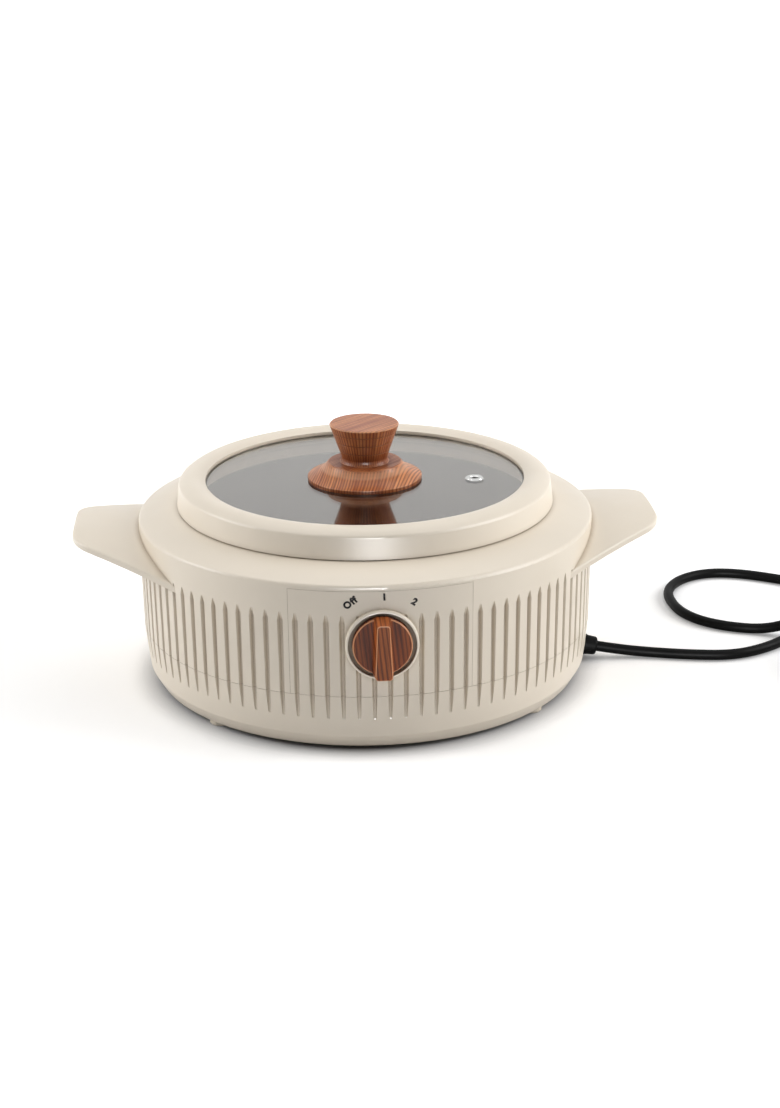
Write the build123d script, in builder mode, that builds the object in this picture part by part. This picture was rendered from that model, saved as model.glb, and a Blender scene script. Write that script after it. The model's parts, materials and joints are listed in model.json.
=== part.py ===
import math
import os

from build123d import *

os.makedirs("parts", exist_ok=True)

# Wall of the appliance: smooth band above, ribs below it, base shell under the seam
body_radius = 144.8
seam_draft = 0.6
waist_inset = 2.2
base_waist_height = 19.0
edge_inset = 3.2
base_edge_height = 11.0
bottom_inset = 7.8
base_bottom = 3.0
seam_height = 37.5
seam_gap = 0.2
casing_wall = 3.6
base_wall = 2.8
base_floor = 2.6
haunch_rise = 1.0
lip_height = 4.5
lip_clearance = 0.3
corner_height = 106.4
corner_round = 2.6
front_angle = -90.0
overcut = 1.0

# Shoulder and the opening that the pan hangs in
shoulder_rise = 7.0
shoulder_crown = 1.1
shoulder_wall = 2.6
ledge_drop = 2.8
ledge_wall = 2.4

# Ribs of the wall, cut as grooves between them
rib_count = 98
groove_depth = 2.2
groove_floor_width = 1.2
groove_mouth_width = 3.8
groove_over = 0.4
groove_top_drop = 3.0
groove_fade = 5.5
groove_bottom = 23.4
band_height = 92.0

# Side ears of the casing
ear_reach = 40.5
ear_tip_width = 66.0
ear_root_width = 160.0
ear_root_sink = 0.6
ear_tip_round = 25.0
ear_crest = 99.1
ear_tilt = 4.5
ear_arch_radius = 260.0
ear_plate = 2.5
ear_rim_depth = 3.8
ear_rim_width = 2.4
ear_edge_round = 1.4
ear_root_step = 0.25

# Front control panel
panel_half_angle = 21.9
panel_land = 0.1
panel_gap = 0.15
dial_height = 71.0
collar_radius = 21.6
collar_reach = 2.6
collar_round = 1.6
well_radius = 20.1
well_sink = 1.2
hook_reach = 3.2
hook_thickness = 2.0
hook_height = 8.0
hook_root_angle = 2.4
hook_web_angle = 0.3
lower_hook_rise = 14.0
upper_hook_drop = 18.0
switch_seat_depth = 1.0

# Inner pan
pan_space = 33.8
pan_draft = 7.0
pan_wall = 1.6
pan_depth = 73.0
pan_corner_round = 16.0
pan_flange_width = 4.8
pan_rim_clearance = 1.2
pan_edge_round = 0.7
gasket_thickness = 1.0

# Lid
ring_overlap = 2.0
ring_wall = 2.4
ring_gap = 0.35
ring_draft = 1.7
ring_edge_rise = 13.45
ring_edge_round = 2.4
ring_crown_inset = 9.5
ring_crown_rise = 3.8
ring_window_inset = 18.5
ring_window_drop = 2.3
glass_hold = 2.8
glass_thickness = 4.0
glass_sink = 2.0
glass_clearance = 0.4
glass_edge = 0.5
sleeve_rise = 3.25
lip_drop = 5.15
lip_gap = 1.0
lip_wall = 2.0
sleeve_wall = 2.4
foot_flange = 2.0
snap_bead = 0.8
seal_height = 2.2
seal_width = 4.2
vent_inset = 34.3
vent_angle = -7.5
vent_flange_radius = 6.0
vent_barrel_radius = 4.0
vent_hole_radius = 2.5
vent_flange = 0.8
vent_clearance = 0.2

# Lid knob, turned, on its wide skirt
skirt_rim_radius = 36.4
skirt_rim_height = 2.2
skirt_neck_radius = 23.2
skirt_height = 11.3
skirt_dip = (1.2, 0.8)
skirt_wall = 3.0
skirt_inner_drop = 0.5
skirt_edge_round = 0.6
skirt_ledge_edge = 0.35
knob_top_radius = 22.0
knob_height = 25.0
knob_waist_radius = 14.6
knob_foot = ((1.2, 0.0), (0.3, 1.3), (0.0, 3.2))
knob_line = 0.35
knob_bevel = 0.7
knob_score_heights = (8.0, 14.0, 20.0)
screw_bore = 2.4
screw_radius = 2.0
screw_head_radius = 4.2
screw_slot = 1.0
insert_radius = 3.6
insert_length = 14.0
washer_radius = 9.0
washer_thickness = 1.2
screw_head_height = 2.6
screw_head_round = 1.2
screw_length = 26.0

# Dial
dial_radius = 17.5
dial_gap = 1.0
dial_thickness = 4.2
dial_bevel = 0.7
grip_height = 11.0
grip_length = 36.4
grip_top_width = 7.4
grip_bottom_width = 10.4
grip_draft = 1.2
shaft_radius = 3.0
shaft_flat = 2.3
running_gap = 0.05
shaft_sink = 11.2
shaft_cover = 4.2
pocket_radius = 8.5
pocket_depth = 2.8
grip_corner = 2.2
grip_edge_round = 1.0

# Switch behind the panel
switch_width = 28.0
switch_height = 26.0
switch_depth = 19.0
switch_corner = 1.5
bushing_radius = 4.6
bushing_gap = 0.2
bushing_reach = 2.6
nut_width = 13.0
nut_thickness = 1.6
switch_blade = (4.8, 0.8, 7.0)
switch_blade_spacing = 16.0

# Heater stack under the pan
plate_inset = 26.0
plate_thickness = 6.0
plate_edge = 1.0
element_inset = 16.0
element_radius = 3.4
element_gap = 0.1
element_arc = 326.0
element_leg = 18.0
element_bend = 8.0
element_sink = 1.0
pin_radius = 1.5
pin_length = 6.0
stud_inset = 16.0
stud_angles = (0, 120, 240)
stud_radius = 2.0
stud_shoulder = 4.0
stud_end = 1.0
stud_nut_width = 7.0
stud_nut_height = 3.2
shield_height = 22.4
shield_thickness = 1.2
shield_clearance = 5.2
shield_rim = 6.0
pillar_radius = 5.0
pillar_half_angle = 25.0
arm_width = 14.0
web_thickness = 2.0
web_rise = 13.5
thermostat_radius = 10.0
thermostat_height = 8.0
thermostat_edge = 0.8
thermostat_blade = (6.3, 8.0, 0.8)
thermostat_blade_offset = 3.0
clip_width = 9.0
clip_thickness = 0.6
clip_span = 38.0
clip_foot = 8.0
clip_rise = 12.0
clip_bend = 0.3
fuse_radius = 2.0
fuse_length = 14.0
fuse_ring = 26.0
fuse_lead = 5.0
fuse_lead_radius = 0.5

# Terminals of the lead, and the wires inside
clamp_inset = 13.8
clamp_width = 7.0
clamp_spread = 9.0
clamp_thickness = 2.5
clamp_head_radius = 3.0
clamp_head_height = 1.5
saddle_inset = 1.0
post_radius = 3.0
block_spacing = 17.0
block_depth = 18.0
block_width = 36.0
block_height = 14.0
block_edge = 1.0
block_hole_depth = 7.0
block_hole_gap = 0.75
rail_thickness = 2.0
rail_height = 7.0
sheath_run = 5.4
sheath_rise = 1.2
sheath_run_in = 3.0
wire_radius = 1.1
wire_bend = 4.0
wire_level = 31.0
wire_spacing = 3.5
wire_stub = 4.0
wire_wall_angles = (-68.0, -47.0, -26.0)

# Feet, floor holes and fasteners
foot_angles = (42.5, 137.5, 222.5, 317.5)
foot_inset = 0.2
foot_radius = 7.0
foot_edge = 0.5
foot_plug_radius = 3.2
foot_plug_rise = 2.5
foot_bead = 0.7
foot_bead_height = 0.5
vent_slot_count = 24
vent_slot_ring = 48.0
vent_slot_length = 18.0
vent_slot_width = 2.4
base_screw_radius = 2.0
base_screw_head = 3.6
screw_gap = 0.3
screw_bite = 17.0
counterbore_depth = 8.0
base_screw_head_height = 3.0

# Mains lead
cord_radius = 3.5
relief_angle = -4.2
relief_tilt = 10.0
relief_height = 10.2
relief_stand = 0.6
relief_land = 0.2
relief_flange_radius = 6.9
relief_flange = 1.6
relief_length = 8.8
relief_root_radius = 6.5
relief_tip_radius = 5.9
relief_front_round = 1.6
relief_neck_radius = 4.8
relief_inside = 9.6
boss_reach = 4.8
coil_centre = (327.0, -57.0)
coil_outer_radius = 42.0
coil_pitch = 7.6
coil_layer_turns = 483.0 / 360.0
coil_start_angle = 66.0
coil_height = 4.4
tie_thickness = 0.6
tie_gap = 0.3
tie_width = 5.0
tie_angle = 33.0
plug_radius = 11.7
plug_length = 30.0
plug_shoulder_length = 10.0
plug_relief_length = 22.0
plug_front_round = 2.0
plug_tip_radius = 4.2
blade_spacing = 12.7
blade_width = 6.3
blade_thickness = 1.5
blade_length = 16.0
coil_run_in = 16.3
lead_route = [
    (184, -12.5, 3.5),
    (212, -20, 3.5),
    (240, -23.5, 3.5),
    (265, -13, 3.5),
    (286, 4.5, 3.5),
    (308, 13, 3.5),
    (327, 30, 3.5),
    (337, 56, 3.5),
    (333, 85, 3.5),
    (318, 105, 3.5),
    (297, 119, 3.5),
    (277, 128.5, 3.5),
    (258.5, 130.5, 3.5),
    (241.5, 124, 3.5),
    (228, 110.5, 3.5),
    (220.5, 93.5, 3.5),
    (219.5, 74, 3.5),
    (222.5, 54.5, 3.5),
    (233, 37, 3.5),
    (251, 24.5, 3.5),
    (272, 18.8, 3.5),
    (289.7, 9.5, 11.8),
    (305.6, 1.1, 11.8),
]

# Radii and heights that follow from the values above
seam_radius = body_radius - seam_draft
base_waist_radius = body_radius - waist_inset
base_edge_radius = body_radius - edge_inset
base_bottom_radius = body_radius - bottom_inset
casing_inner_radius = body_radius - casing_wall
base_inner_radius = base_edge_radius - base_wall
groove_floor_radius = body_radius - groove_depth
groove_top = band_height - groove_top_drop
ear_tip = body_radius + ear_reach
ear_root_x = math.sqrt((body_radius - ear_root_sink) ** 2 - (ear_root_width / 2) ** 2)
shoulder_inner_height = corner_height + shoulder_rise
ledge_height = shoulder_inner_height - ledge_drop
panel_top = corner_height - corner_round - panel_land
pan_mouth_radius = body_radius - pan_space
pan_floor_radius = pan_mouth_radius - pan_draft
pan_outer_radius = pan_mouth_radius + pan_wall
pan_flange_radius = pan_outer_radius + pan_flange_width
opening_radius = pan_outer_radius + pan_rim_clearance
recess_radius = pan_flange_radius + 2 * lip_clearance
flange_height = ledge_height + gasket_thickness
pan_top = flange_height + pan_wall
pan_bottom = pan_top - pan_depth
plate_bottom = pan_bottom - plate_thickness
floor_top = base_bottom + base_floor

ring_radius = recess_radius + ring_overlap
ring_bottom = shoulder_inner_height + ring_gap
ring_edge_radius = ring_radius - ring_draft
ring_edge_height = ring_bottom + ring_edge_rise
ring_crown_radius = ring_radius - ring_crown_inset
ring_crown_height = ring_edge_height + ring_crown_rise
ring_window_radius = ring_radius - ring_window_inset
ring_window_height = ring_crown_height - ring_window_drop
glass_radius = ring_window_radius + glass_hold
vent_radius = glass_radius - vent_inset
glass_top = ring_window_height - glass_sink
glass_bottom = glass_top - glass_thickness
sleeve_bottom = ring_bottom + sleeve_rise
lip_bottom = ring_bottom - lip_drop
lip_outer_radius = pan_mouth_radius - lip_gap
knob_base = glass_top + skirt_height

collar_front = body_radius + collar_reach
well_floor = body_radius - well_sink
dial_back = well_floor + dial_gap
dial_face = dial_back + dial_thickness
grip_front = dial_face + grip_height
bushing_front = well_floor + bushing_reach
switch_seat = casing_inner_radius - switch_seat_depth
shaft_back = switch_seat - shaft_sink
shaft_front = grip_front - shaft_cover

plate_radius = pan_floor_radius - plate_inset
element_ring_radius = plate_radius - element_inset
stud_ring_radius = element_ring_radius - stud_inset
element_height = plate_bottom - element_radius + element_sink
clamp_ring = base_inner_radius - clamp_inset
block_ring = clamp_ring - block_spacing
sheath_end = clamp_ring - sheath_run
block_row_spacing = block_depth / 2
block_column_spacing = block_width / 4
shield_outer_radius = block_ring - block_row_spacing / 2 - wire_radius - shield_clearance
shield_radius = shield_outer_radius - shield_thickness
pillar_ring_radius = (pan_outer_radius + base_inner_radius) / 2
foot_ring_radius = base_bottom_radius - foot_radius - foot_inset
relief_wall = base_edge_radius + relief_stand
dial_plane = Plane(origin=(0, 0, dial_height), x_dir=(1, 0, 0), z_dir=(0, -1, 0))


def on_ring(radius, angle, height=0.0):
    """Point at a radius and an angle in degrees round the upright axis."""
    turn = math.radians(angle)
    return Vector(radius * math.cos(turn), radius * math.sin(turn), height)


def radial_plane(angle):
    """Upright plane through the axis: x runs outwards at the angle, y upwards."""
    return Plane(origin=(0, 0, 0), x_dir=on_ring(1, angle), z_dir=on_ring(1, angle - 90))


def sector_lines(inner, outer, start, end):
    """Outline of a ring sector, drawn into the open BuildLine."""
    CenterArc((0, 0), outer, start, end - start)
    CenterArc((0, 0), inner, start, end - start)
    Line(on_ring(inner, start), on_ring(outer, start))
    Line(on_ring(inner, end), on_ring(outer, end))


def write(part, label):
    part.label = label
    export_step(part, f"parts/{label}.step")


def wall_lines(bottom):
    """Outside of the wall from the bottom edge of the casing up to the corner under the shoulder."""
    return Polyline((seam_radius, bottom), (body_radius, band_height), (body_radius, corner_height))


def corner_bends(points, largest):
    """Bend radius for each inner corner of a route, as large as its shorter side leaves room for."""
    radii = []
    for before, corner, after in zip(points, points[1:], points[2:]):
        turn = max((corner - before).get_angle(after - corner), 1)
        run = min((corner - before).length, (after - corner).length)
        radii.append(min(largest, 0.45 * run / math.tan(math.radians(turn / 2))))
    return radii


# Cutter for one groove: a V with a narrow floor that runs out of the wall at both ends
groove_grow = (groove_mouth_width - groove_floor_width) / groove_depth
groove_cut_width = groove_mouth_width + groove_grow * groove_over
with BuildPart() as groove_cutter:
    ends = ((groove_top - groove_fade, groove_fade), (groove_bottom, -groove_fade))
    for level, rise in ends:
        with BuildSketch(Plane.XY.offset(level)) as groove_section:
            with BuildLine():
                Polyline(
                    (groove_floor_radius, -groove_floor_width / 2),
                    (body_radius + groove_over, -groove_cut_width / 2),
                    (body_radius + groove_over, groove_cut_width / 2),
                    (groove_floor_radius, groove_floor_width / 2),
                    close=True,
                )
            make_face()
        run_out = Vector(groove_depth, 0, rise)
        extrude(amount=run_out.length + groove_over, dir=run_out.normalized())
    extrude(groove_section.sketch, amount=groove_top - groove_fade - groove_bottom)

groove_steps = [(k + 0.5) * 360 / rib_count for k in range(-rib_count // 2, rib_count // 2)]
panel_steps = [step for step in groove_steps if abs(step) < panel_half_angle]
casing_steps = [step for step in groove_steps if abs(step) > panel_half_angle]
panel_cutters = [groove_cutter.part.rotate(Axis.Z, step + front_angle) for step in panel_steps]
casing_cutters = [groove_cutter.part.rotate(Axis.Z, step + front_angle) for step in casing_steps]


# Ear: a slab with an arched top, cut to its plan outline and hollowed from below
def ear_outline_lines():
    half_tip = ear_tip_width / 2
    half_root = ear_root_width / 2
    FilletPolyline(
        (ear_root_x, -half_root),
        (ear_tip, -half_tip),
        (ear_tip, half_tip),
        (ear_root_x, half_root),
        radius=ear_tip_round,
    )
    Line((ear_root_x, half_root), (ear_root_x, -half_root))


ear_slope = math.radians(ear_tilt)
ear_plane = Plane(
    origin=(ear_root_x, 0, ear_crest),
    x_dir=(0, 1, 0),
    z_dir=(math.cos(ear_slope), 0, math.sin(ear_slope)),
)


def arch_lines(drop, depth):
    """Arched band across the ear in its tilted plane, drop below the crest and depth thick."""
    half = ear_root_width / 2 + ear_rim_depth
    sides = []
    for lower in (drop, drop + depth):
        radius = ear_arch_radius - lower
        edge = math.sqrt(radius**2 - half**2) - ear_arch_radius
        sides.append(((-half, edge), (0, -lower), (half, edge)))
    for arc in sides:
        ThreePointArc(*arc)
    Line(sides[0][0], sides[1][0])
    Line(sides[0][2], sides[1][2])


with BuildPart() as ear:
    with BuildSketch(ear_plane.offset(-ear_rim_depth)):
        with BuildLine():
            arch_lines(0, ear_rim_depth)
        make_face()
    extrude(amount=ear_tip - ear_root_x + 4 * ear_rim_depth)
    with BuildSketch(Plane.XY):
        with BuildLine():
            ear_outline_lines()
        make_face()
    extrude(amount=2 * ear_crest, mode=Mode.INTERSECT)
    top_face = ear.faces().sort_by(SortBy.AREA)[-2:].sort_by(Axis.Z)[-1]
    fillet(top_face.edges().filter_by(lambda e: e.center().X > ear_root_x + overcut), radius=ear_edge_round)
    Cylinder(casing_inner_radius + overcut, 3 * ear_crest, mode=Mode.SUBTRACT)

with BuildPart() as ear_hollow:
    with BuildSketch(ear_plane.offset(-ear_rim_depth)):
        with BuildLine():
            arch_lines(ear_plate, ear_rim_depth)
        make_face()
    extrude(amount=ear_tip - ear_root_x + 4 * ear_rim_depth)
    with BuildSketch(Plane.XY):
        with BuildLine():
            ear_outline_lines()
        make_face()
        offset(amount=-ear_rim_width)
    extrude(amount=2 * ear_crest, mode=Mode.INTERSECT)
    Cylinder(body_radius + ear_root_step, 3 * ear_crest, mode=Mode.SUBTRACT)

casing_bottom = seam_height + seam_gap / 2
pillar_angles = [side + s for side in (0, 180) for s in (-pillar_half_angle, pillar_half_angle)]
pillar_spots = [on_ring(pillar_ring_radius, angle) for angle in pillar_angles]
pillar_bottom = shield_height + shield_thickness
pillar_top = ledge_height - ledge_wall

with BuildPart() as outer_casing:
    with BuildSketch(Plane.XZ):
        with BuildLine():
            wall = wall_lines(casing_bottom)
            shoulder_mid = (
                (body_radius + recess_radius) / 2,
                (corner_height + shoulder_inner_height) / 2 + shoulder_crown,
            )
            shoulder = ThreePointArc(wall @ 1, shoulder_mid, (recess_radius, shoulder_inner_height))
            Polyline(
                shoulder @ 1,
                (recess_radius, ledge_height),
                (opening_radius, ledge_height),
                (opening_radius, ledge_height - ledge_wall),
                (recess_radius + shoulder_wall, ledge_height - ledge_wall),
                (casing_inner_radius, corner_height - shoulder_wall),
                (casing_inner_radius, casing_bottom),
                wall @ 0,
            )
        casing_section = make_face()
        fillet(casing_section.vertices().group_by(Axis.X)[-1].sort_by(Axis.Y)[-1], radius=corner_round)
    revolve(axis=Axis.Z)
    # window of the control panel
    with BuildSketch(Plane.XY.offset(casing_bottom - overcut)):
        with BuildLine():
            panel_sides = (front_angle - panel_half_angle, front_angle + panel_half_angle)
            sector_lines(base_inner_radius, body_radius + overcut, *panel_sides)
        make_face()
    extrude(amount=panel_top - casing_bottom + overcut, mode=Mode.SUBTRACT)
    add(casing_cutters, mode=Mode.SUBTRACT)
    # pillars that hang from the shoulder, each tied to the wall by a web
    with BuildSketch(Plane.XY.offset(pillar_bottom)):
        with Locations(*pillar_spots):
            Circle(pillar_radius)
    extrude(amount=pillar_top - pillar_bottom)
    web_bottom = seam_height + web_rise
    with BuildSketch(Plane.XY.offset(web_bottom)):
        web_middle = (pillar_ring_radius + casing_inner_radius) / 2
        for angle in pillar_angles:
            with Locations(Location(on_ring(web_middle, angle), (0, 0, angle))):
                Rectangle(casing_inner_radius - pillar_ring_radius + overcut, web_thickness)
    extrude(amount=corner_height - overcut - web_bottom)
    with BuildSketch(Plane.XY.offset(pillar_bottom)):
        with Locations(*pillar_spots):
            Circle(base_screw_radius + running_gap)
    extrude(amount=screw_bite + overcut, mode=Mode.SUBTRACT)
    # ears, each cut back to the inside of the wall
    for turn in (0, 180):
        add(ear.part.rotate(Axis.Z, turn))
        add(ear_hollow.part.rotate(Axis.Z, turn), mode=Mode.SUBTRACT)

write(outer_casing.part, "outer_casing")

# Control panel: a curved insert with its own ribs, the dial collar and its well
gap_angle = math.degrees(panel_gap / body_radius)
panel_edge = panel_half_angle - gap_angle
with BuildPart() as control_panel:
    with BuildSketch(radial_plane(front_angle - panel_edge)):
        with BuildLine():
            face_top = panel_top - panel_gap
            face = Polyline((seam_radius, casing_bottom), (body_radius, band_height), (body_radius, face_top))
            Polyline(
                face @ 1,
                (casing_inner_radius, face_top),
                (casing_inner_radius, casing_bottom),
                face @ 0,
            )
        make_face()
    revolve(axis=Axis.Z, revolution_arc=2 * panel_edge)
    add(panel_cutters, mode=Mode.SUBTRACT)
    # snap hooks that reach behind the wall of the casing
    hook_outer = casing_inner_radius - lip_clearance
    hook_inner = hook_outer - hook_thickness
    for height in (seam_height + lower_hook_rise, panel_top - upper_hook_drop):
        for side in (-1, 1):
            edge = front_angle + side * panel_edge
            inner_end = edge - side * hook_root_angle
            outer_end = edge + side * hook_reach
            with BuildSketch(Plane.XY.offset(height)):
                with BuildLine():
                    sector_lines(hook_inner, hook_outer, inner_end, outer_end)
                make_face()
                with BuildLine():
                    web_end = edge - side * hook_web_angle
                    sector_lines(hook_inner, casing_inner_radius + lip_clearance, inner_end, web_end)
                make_face()
            extrude(amount=hook_height)
    # collar, well and hole for the switch
    with BuildSketch(dial_plane.offset(switch_seat)):
        Circle(collar_radius)
    extrude(amount=collar_front - switch_seat)
    collar_edge = control_panel.edges().filter_by(GeomType.CIRCLE).sort_by(Axis.Y)[0]
    fillet(collar_edge, radius=collar_round)
    with BuildSketch(dial_plane.offset(well_floor)):
        Circle(well_radius)
    extrude(amount=collar_front - well_floor, mode=Mode.SUBTRACT)
    with BuildSketch(dial_plane.offset(switch_seat)):
        Circle(bushing_radius + bushing_gap)
    extrude(amount=well_floor - switch_seat, mode=Mode.SUBTRACT)

write(control_panel.part, "control_panel")

# Mains lead leaves the base on an axis that tips down a little
relief_axis = Vector(
    math.cos(math.radians(relief_angle)) * math.cos(math.radians(relief_tilt)),
    math.sin(math.radians(relief_angle)) * math.cos(math.radians(relief_tilt)),
    -math.sin(math.radians(relief_tilt)),
)
relief_plane = Plane(origin=on_ring(relief_wall, relief_angle, relief_height), z_dir=relief_axis)
boss_length = relief_wall - base_inner_radius + boss_reach
inner_floor = Plane(origin=(0, 0, floor_top), x_dir=on_ring(1, relief_angle), z_dir=(0, 0, 1))
sheath_start = relief_plane.origin - relief_axis * relief_inside
sheath_height = sheath_start.Z + sheath_rise
rail_offset = (block_depth + rail_thickness) / 2 + screw_gap

# Base shell: waisted wall with the lower ends of the ribs, floor, lip, bosses and air slots
foot_spots = [on_ring(foot_ring_radius, angle) for angle in foot_angles]
with BuildPart() as base_shell:
    base_top = seam_height - seam_gap / 2
    lip_outer = casing_inner_radius - lip_clearance
    with BuildSketch(Plane.XZ):
        with BuildLine():
            edge_corner = (base_edge_radius, base_edge_height)
            Polyline((0, base_bottom), (base_bottom_radius, base_bottom), edge_corner)
            waist_middle = (base_waist_radius, base_waist_height)
            waist = ThreePointArc(edge_corner, waist_middle, (seam_radius, base_top))
            Polyline(
                waist @ 1,
                (lip_outer, base_top),
                (lip_outer, base_top + lip_height),
                (base_inner_radius, base_top + lip_height),
                (base_inner_radius, base_edge_height + haunch_rise),
                (base_bottom_radius - base_floor, floor_top),
                (0, floor_top),
                (0, base_bottom),
            )
        make_face()
    revolve(axis=Axis.Z)
    add(panel_cutters + casing_cutters, mode=Mode.SUBTRACT)
    # boss that carries the strain relief
    with BuildSketch(relief_plane.offset(-boss_length)):
        Circle(relief_flange_radius + relief_land)
    extrude(amount=boss_length)
    with BuildSketch(relief_plane.offset(-boss_length - overcut)):
        Circle(relief_neck_radius + element_gap)
    extrude(amount=boss_length + 2 * overcut, mode=Mode.SUBTRACT)
    # screw bosses under the pillars
    with BuildSketch(Plane.XY.offset(base_bottom)):
        with Locations(*pillar_spots):
            Circle(pillar_radius)
    extrude(amount=shield_height - base_bottom)
    screw_hole = base_screw_radius + screw_gap
    with Locations(*[Location(spot + Vector(0, 0, base_bottom), (180, 0, 0)) for spot in pillar_spots]):
        CounterBoreHole(screw_hole, base_screw_head + screw_gap, counterbore_depth, shield_height)
    with BuildSketch(Plane.XY.offset(base_bottom)):
        with Locations(*foot_spots):
            Circle(foot_plug_radius + element_gap)
        with PolarLocations(vent_slot_ring, vent_slot_count):
            SlotOverall(vent_slot_length, vent_slot_width)
    extrude(amount=base_floor, mode=Mode.SUBTRACT)
    # posts and saddle of the lead clamp, and rails on both sides of the terminal block
    with BuildSketch(inner_floor):
        with Locations((clamp_ring, -clamp_spread), (clamp_ring, clamp_spread)):
            Circle(post_radius)
    extrude(amount=sheath_height + cord_radius - floor_top)
    with BuildSketch(inner_floor):
        with Locations((clamp_ring, 0)):
            Rectangle(clamp_width - 2 * saddle_inset, 2 * clamp_spread)
    extrude(amount=sheath_height - cord_radius - screw_gap - floor_top)
    with BuildSketch(inner_floor):
        with Locations((block_ring - rail_offset, 0), (block_ring + rail_offset, 0)):
            Rectangle(rail_thickness, block_width / 2)
    extrude(amount=rail_height)
    with BuildSketch(inner_floor):
        with Locations((clamp_ring, -clamp_spread), (clamp_ring, clamp_spread)):
            Circle(pin_radius + running_gap)
    extrude(amount=sheath_height + cord_radius - floor_top, mode=Mode.SUBTRACT)

write(base_shell.part, "base_shell")

# Rubber feet: a round pad, and a plug that snaps through the floor
with BuildPart() as foot:
    with BuildSketch(Plane.XZ):
        with BuildLine():
            Polyline(
                (0, 0),
                (foot_radius - foot_edge, 0),
                (foot_radius, foot_edge),
                (foot_radius, base_bottom),
                (foot_plug_radius, base_bottom),
                (foot_plug_radius, floor_top + element_gap),
                (foot_plug_radius + foot_bead, floor_top + foot_bead_height),
                (foot_plug_radius - foot_bead, floor_top + foot_plug_rise),
                (0, floor_top + foot_plug_rise),
                close=True,
            )
        make_face()
    revolve(axis=Axis.Z)

with BuildPart() as feet:
    with Locations(*foot_spots):
        add(foot.part)

write(feet.part, "feet")

# Base screws, driven up through shell and shield into the pillars
with BuildPart() as base_screw:
    with BuildSketch(Plane.XY.offset(base_bottom + counterbore_depth - base_screw_head_height)):
        Circle(base_screw_head)
    extrude(amount=base_screw_head_height)
    with BuildSketch(Plane.XY.offset(base_bottom + counterbore_depth)):
        Circle(base_screw_radius)
    extrude(amount=pillar_bottom + screw_bite - base_bottom - counterbore_depth)
    with BuildSketch(Plane.XY.offset(base_bottom + counterbore_depth - base_screw_head_height)):
        Rectangle(screw_slot, base_screw_head)
        Rectangle(base_screw_head, screw_slot)
    extrude(amount=base_screw_head_height / 2, mode=Mode.SUBTRACT)

with BuildPart() as base_screws:
    with Locations(*pillar_spots):
        add(base_screw.part)

write(base_screws.part, "base_screws")

# Inner pan: tapered wall, round corner and a flat flange that hangs on the gasket
with BuildPart() as inner_pan:
    with BuildSketch(Plane.XZ):
        with BuildLine():
            Polyline(
                (0, pan_bottom),
                (pan_floor_radius + pan_wall, pan_bottom),
                (pan_outer_radius, flange_height),
                (pan_flange_radius, flange_height),
                (pan_flange_radius, pan_top),
                (pan_mouth_radius, pan_top),
                (pan_floor_radius, pan_bottom + pan_wall),
                (0, pan_bottom + pan_wall),
                close=True,
            )
        pan_section = make_face()
        rounds = (
            (pan_floor_radius + pan_wall, pan_bottom, pan_corner_round + pan_wall),
            (pan_floor_radius, pan_bottom + pan_wall, pan_corner_round),
            (pan_mouth_radius, pan_top, pan_edge_round),
            (pan_flange_radius, pan_top, pan_edge_round),
        )
        for x, y, radius in rounds:
            fillet(pan_section.vertices().sort_by_distance((x, y))[0], radius=radius)
    revolve(axis=Axis.Z)

write(inner_pan.part, "inner_pan")

with BuildPart() as pan_gasket:
    with BuildSketch(Plane.XY.offset(ledge_height)):
        Circle(pan_flange_radius + lip_clearance / 2)
        Circle(opening_radius + lip_clearance, mode=Mode.SUBTRACT)
    extrude(amount=gasket_thickness)

write(pan_gasket.part, "pan_gasket")

# Tubular element under the cast plate, with both ends turned outwards
leg_angle = (360 - element_arc) / 2
with BuildPart() as heating_element:
    with BuildLine(Plane.XY.offset(element_height)) as element_path:
        ring = CenterArc((0, 0), element_ring_radius, leg_angle, element_arc)
        leg_ends = []
        for side, start in ((1, ring @ 0), (-1, ring @ 1)):
            outward = on_ring(1, side * leg_angle)
            along = on_ring(1, side * (leg_angle - 90))
            bend_end = start + (outward + along) * element_bend
            TangentArc(start, bend_end, tangent=along)
            leg_ends.append((bend_end + outward * element_leg, outward))
            Line(bend_end, leg_ends[-1][0])
    with BuildSketch(Plane(origin=leg_ends[0][0], z_dir=leg_ends[0][1])):
        Circle(element_radius)
    sweep(path=element_path.wire())
    for end, outward in leg_ends:
        with BuildSketch(Plane(origin=end, z_dir=outward)):
            Circle(pin_radius)
        extrude(amount=pin_length)

write(heating_element.part, "heating_element")

stud_spots = [on_ring(stud_ring_radius, angle) for angle in stud_angles]
with BuildPart() as element_plate:
    with BuildSketch(Plane.XY.offset(plate_bottom)):
        Circle(plate_radius)
    extrude(amount=plate_thickness)
    chamfer(element_plate.edges().filter_by(GeomType.CIRCLE).sort_by(Axis.Z)[-1], length=plate_edge)
    with BuildSketch(Plane.XY.offset(pillar_bottom)):
        with Locations(*stud_spots):
            Circle(stud_shoulder)
    extrude(amount=plate_bottom - pillar_bottom)
    with BuildSketch(Plane.XY.offset(shield_height - stud_nut_height - stud_end)):
        with Locations(*stud_spots):
            Circle(stud_radius)
    extrude(amount=pillar_bottom - shield_height + stud_nut_height + stud_end)
    # bed of the element
    with BuildSketch(Plane(origin=leg_ends[0][0], z_dir=leg_ends[0][1])):
        Circle(element_radius + element_gap)
    sweep(path=element_path.wire(), mode=Mode.SUBTRACT)

write(element_plate.part, "element_plate")

with BuildPart() as element_nuts:
    with BuildSketch(Plane.XY.offset(shield_height - stud_nut_height)):
        with Locations(*stud_spots):
            RegularPolygon(stud_nut_width / 2, 6, major_radius=False)
            Circle(stud_radius + running_gap, mode=Mode.SUBTRACT)
    extrude(amount=stud_nut_height)

write(element_nuts.part, "element_nuts")

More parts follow.
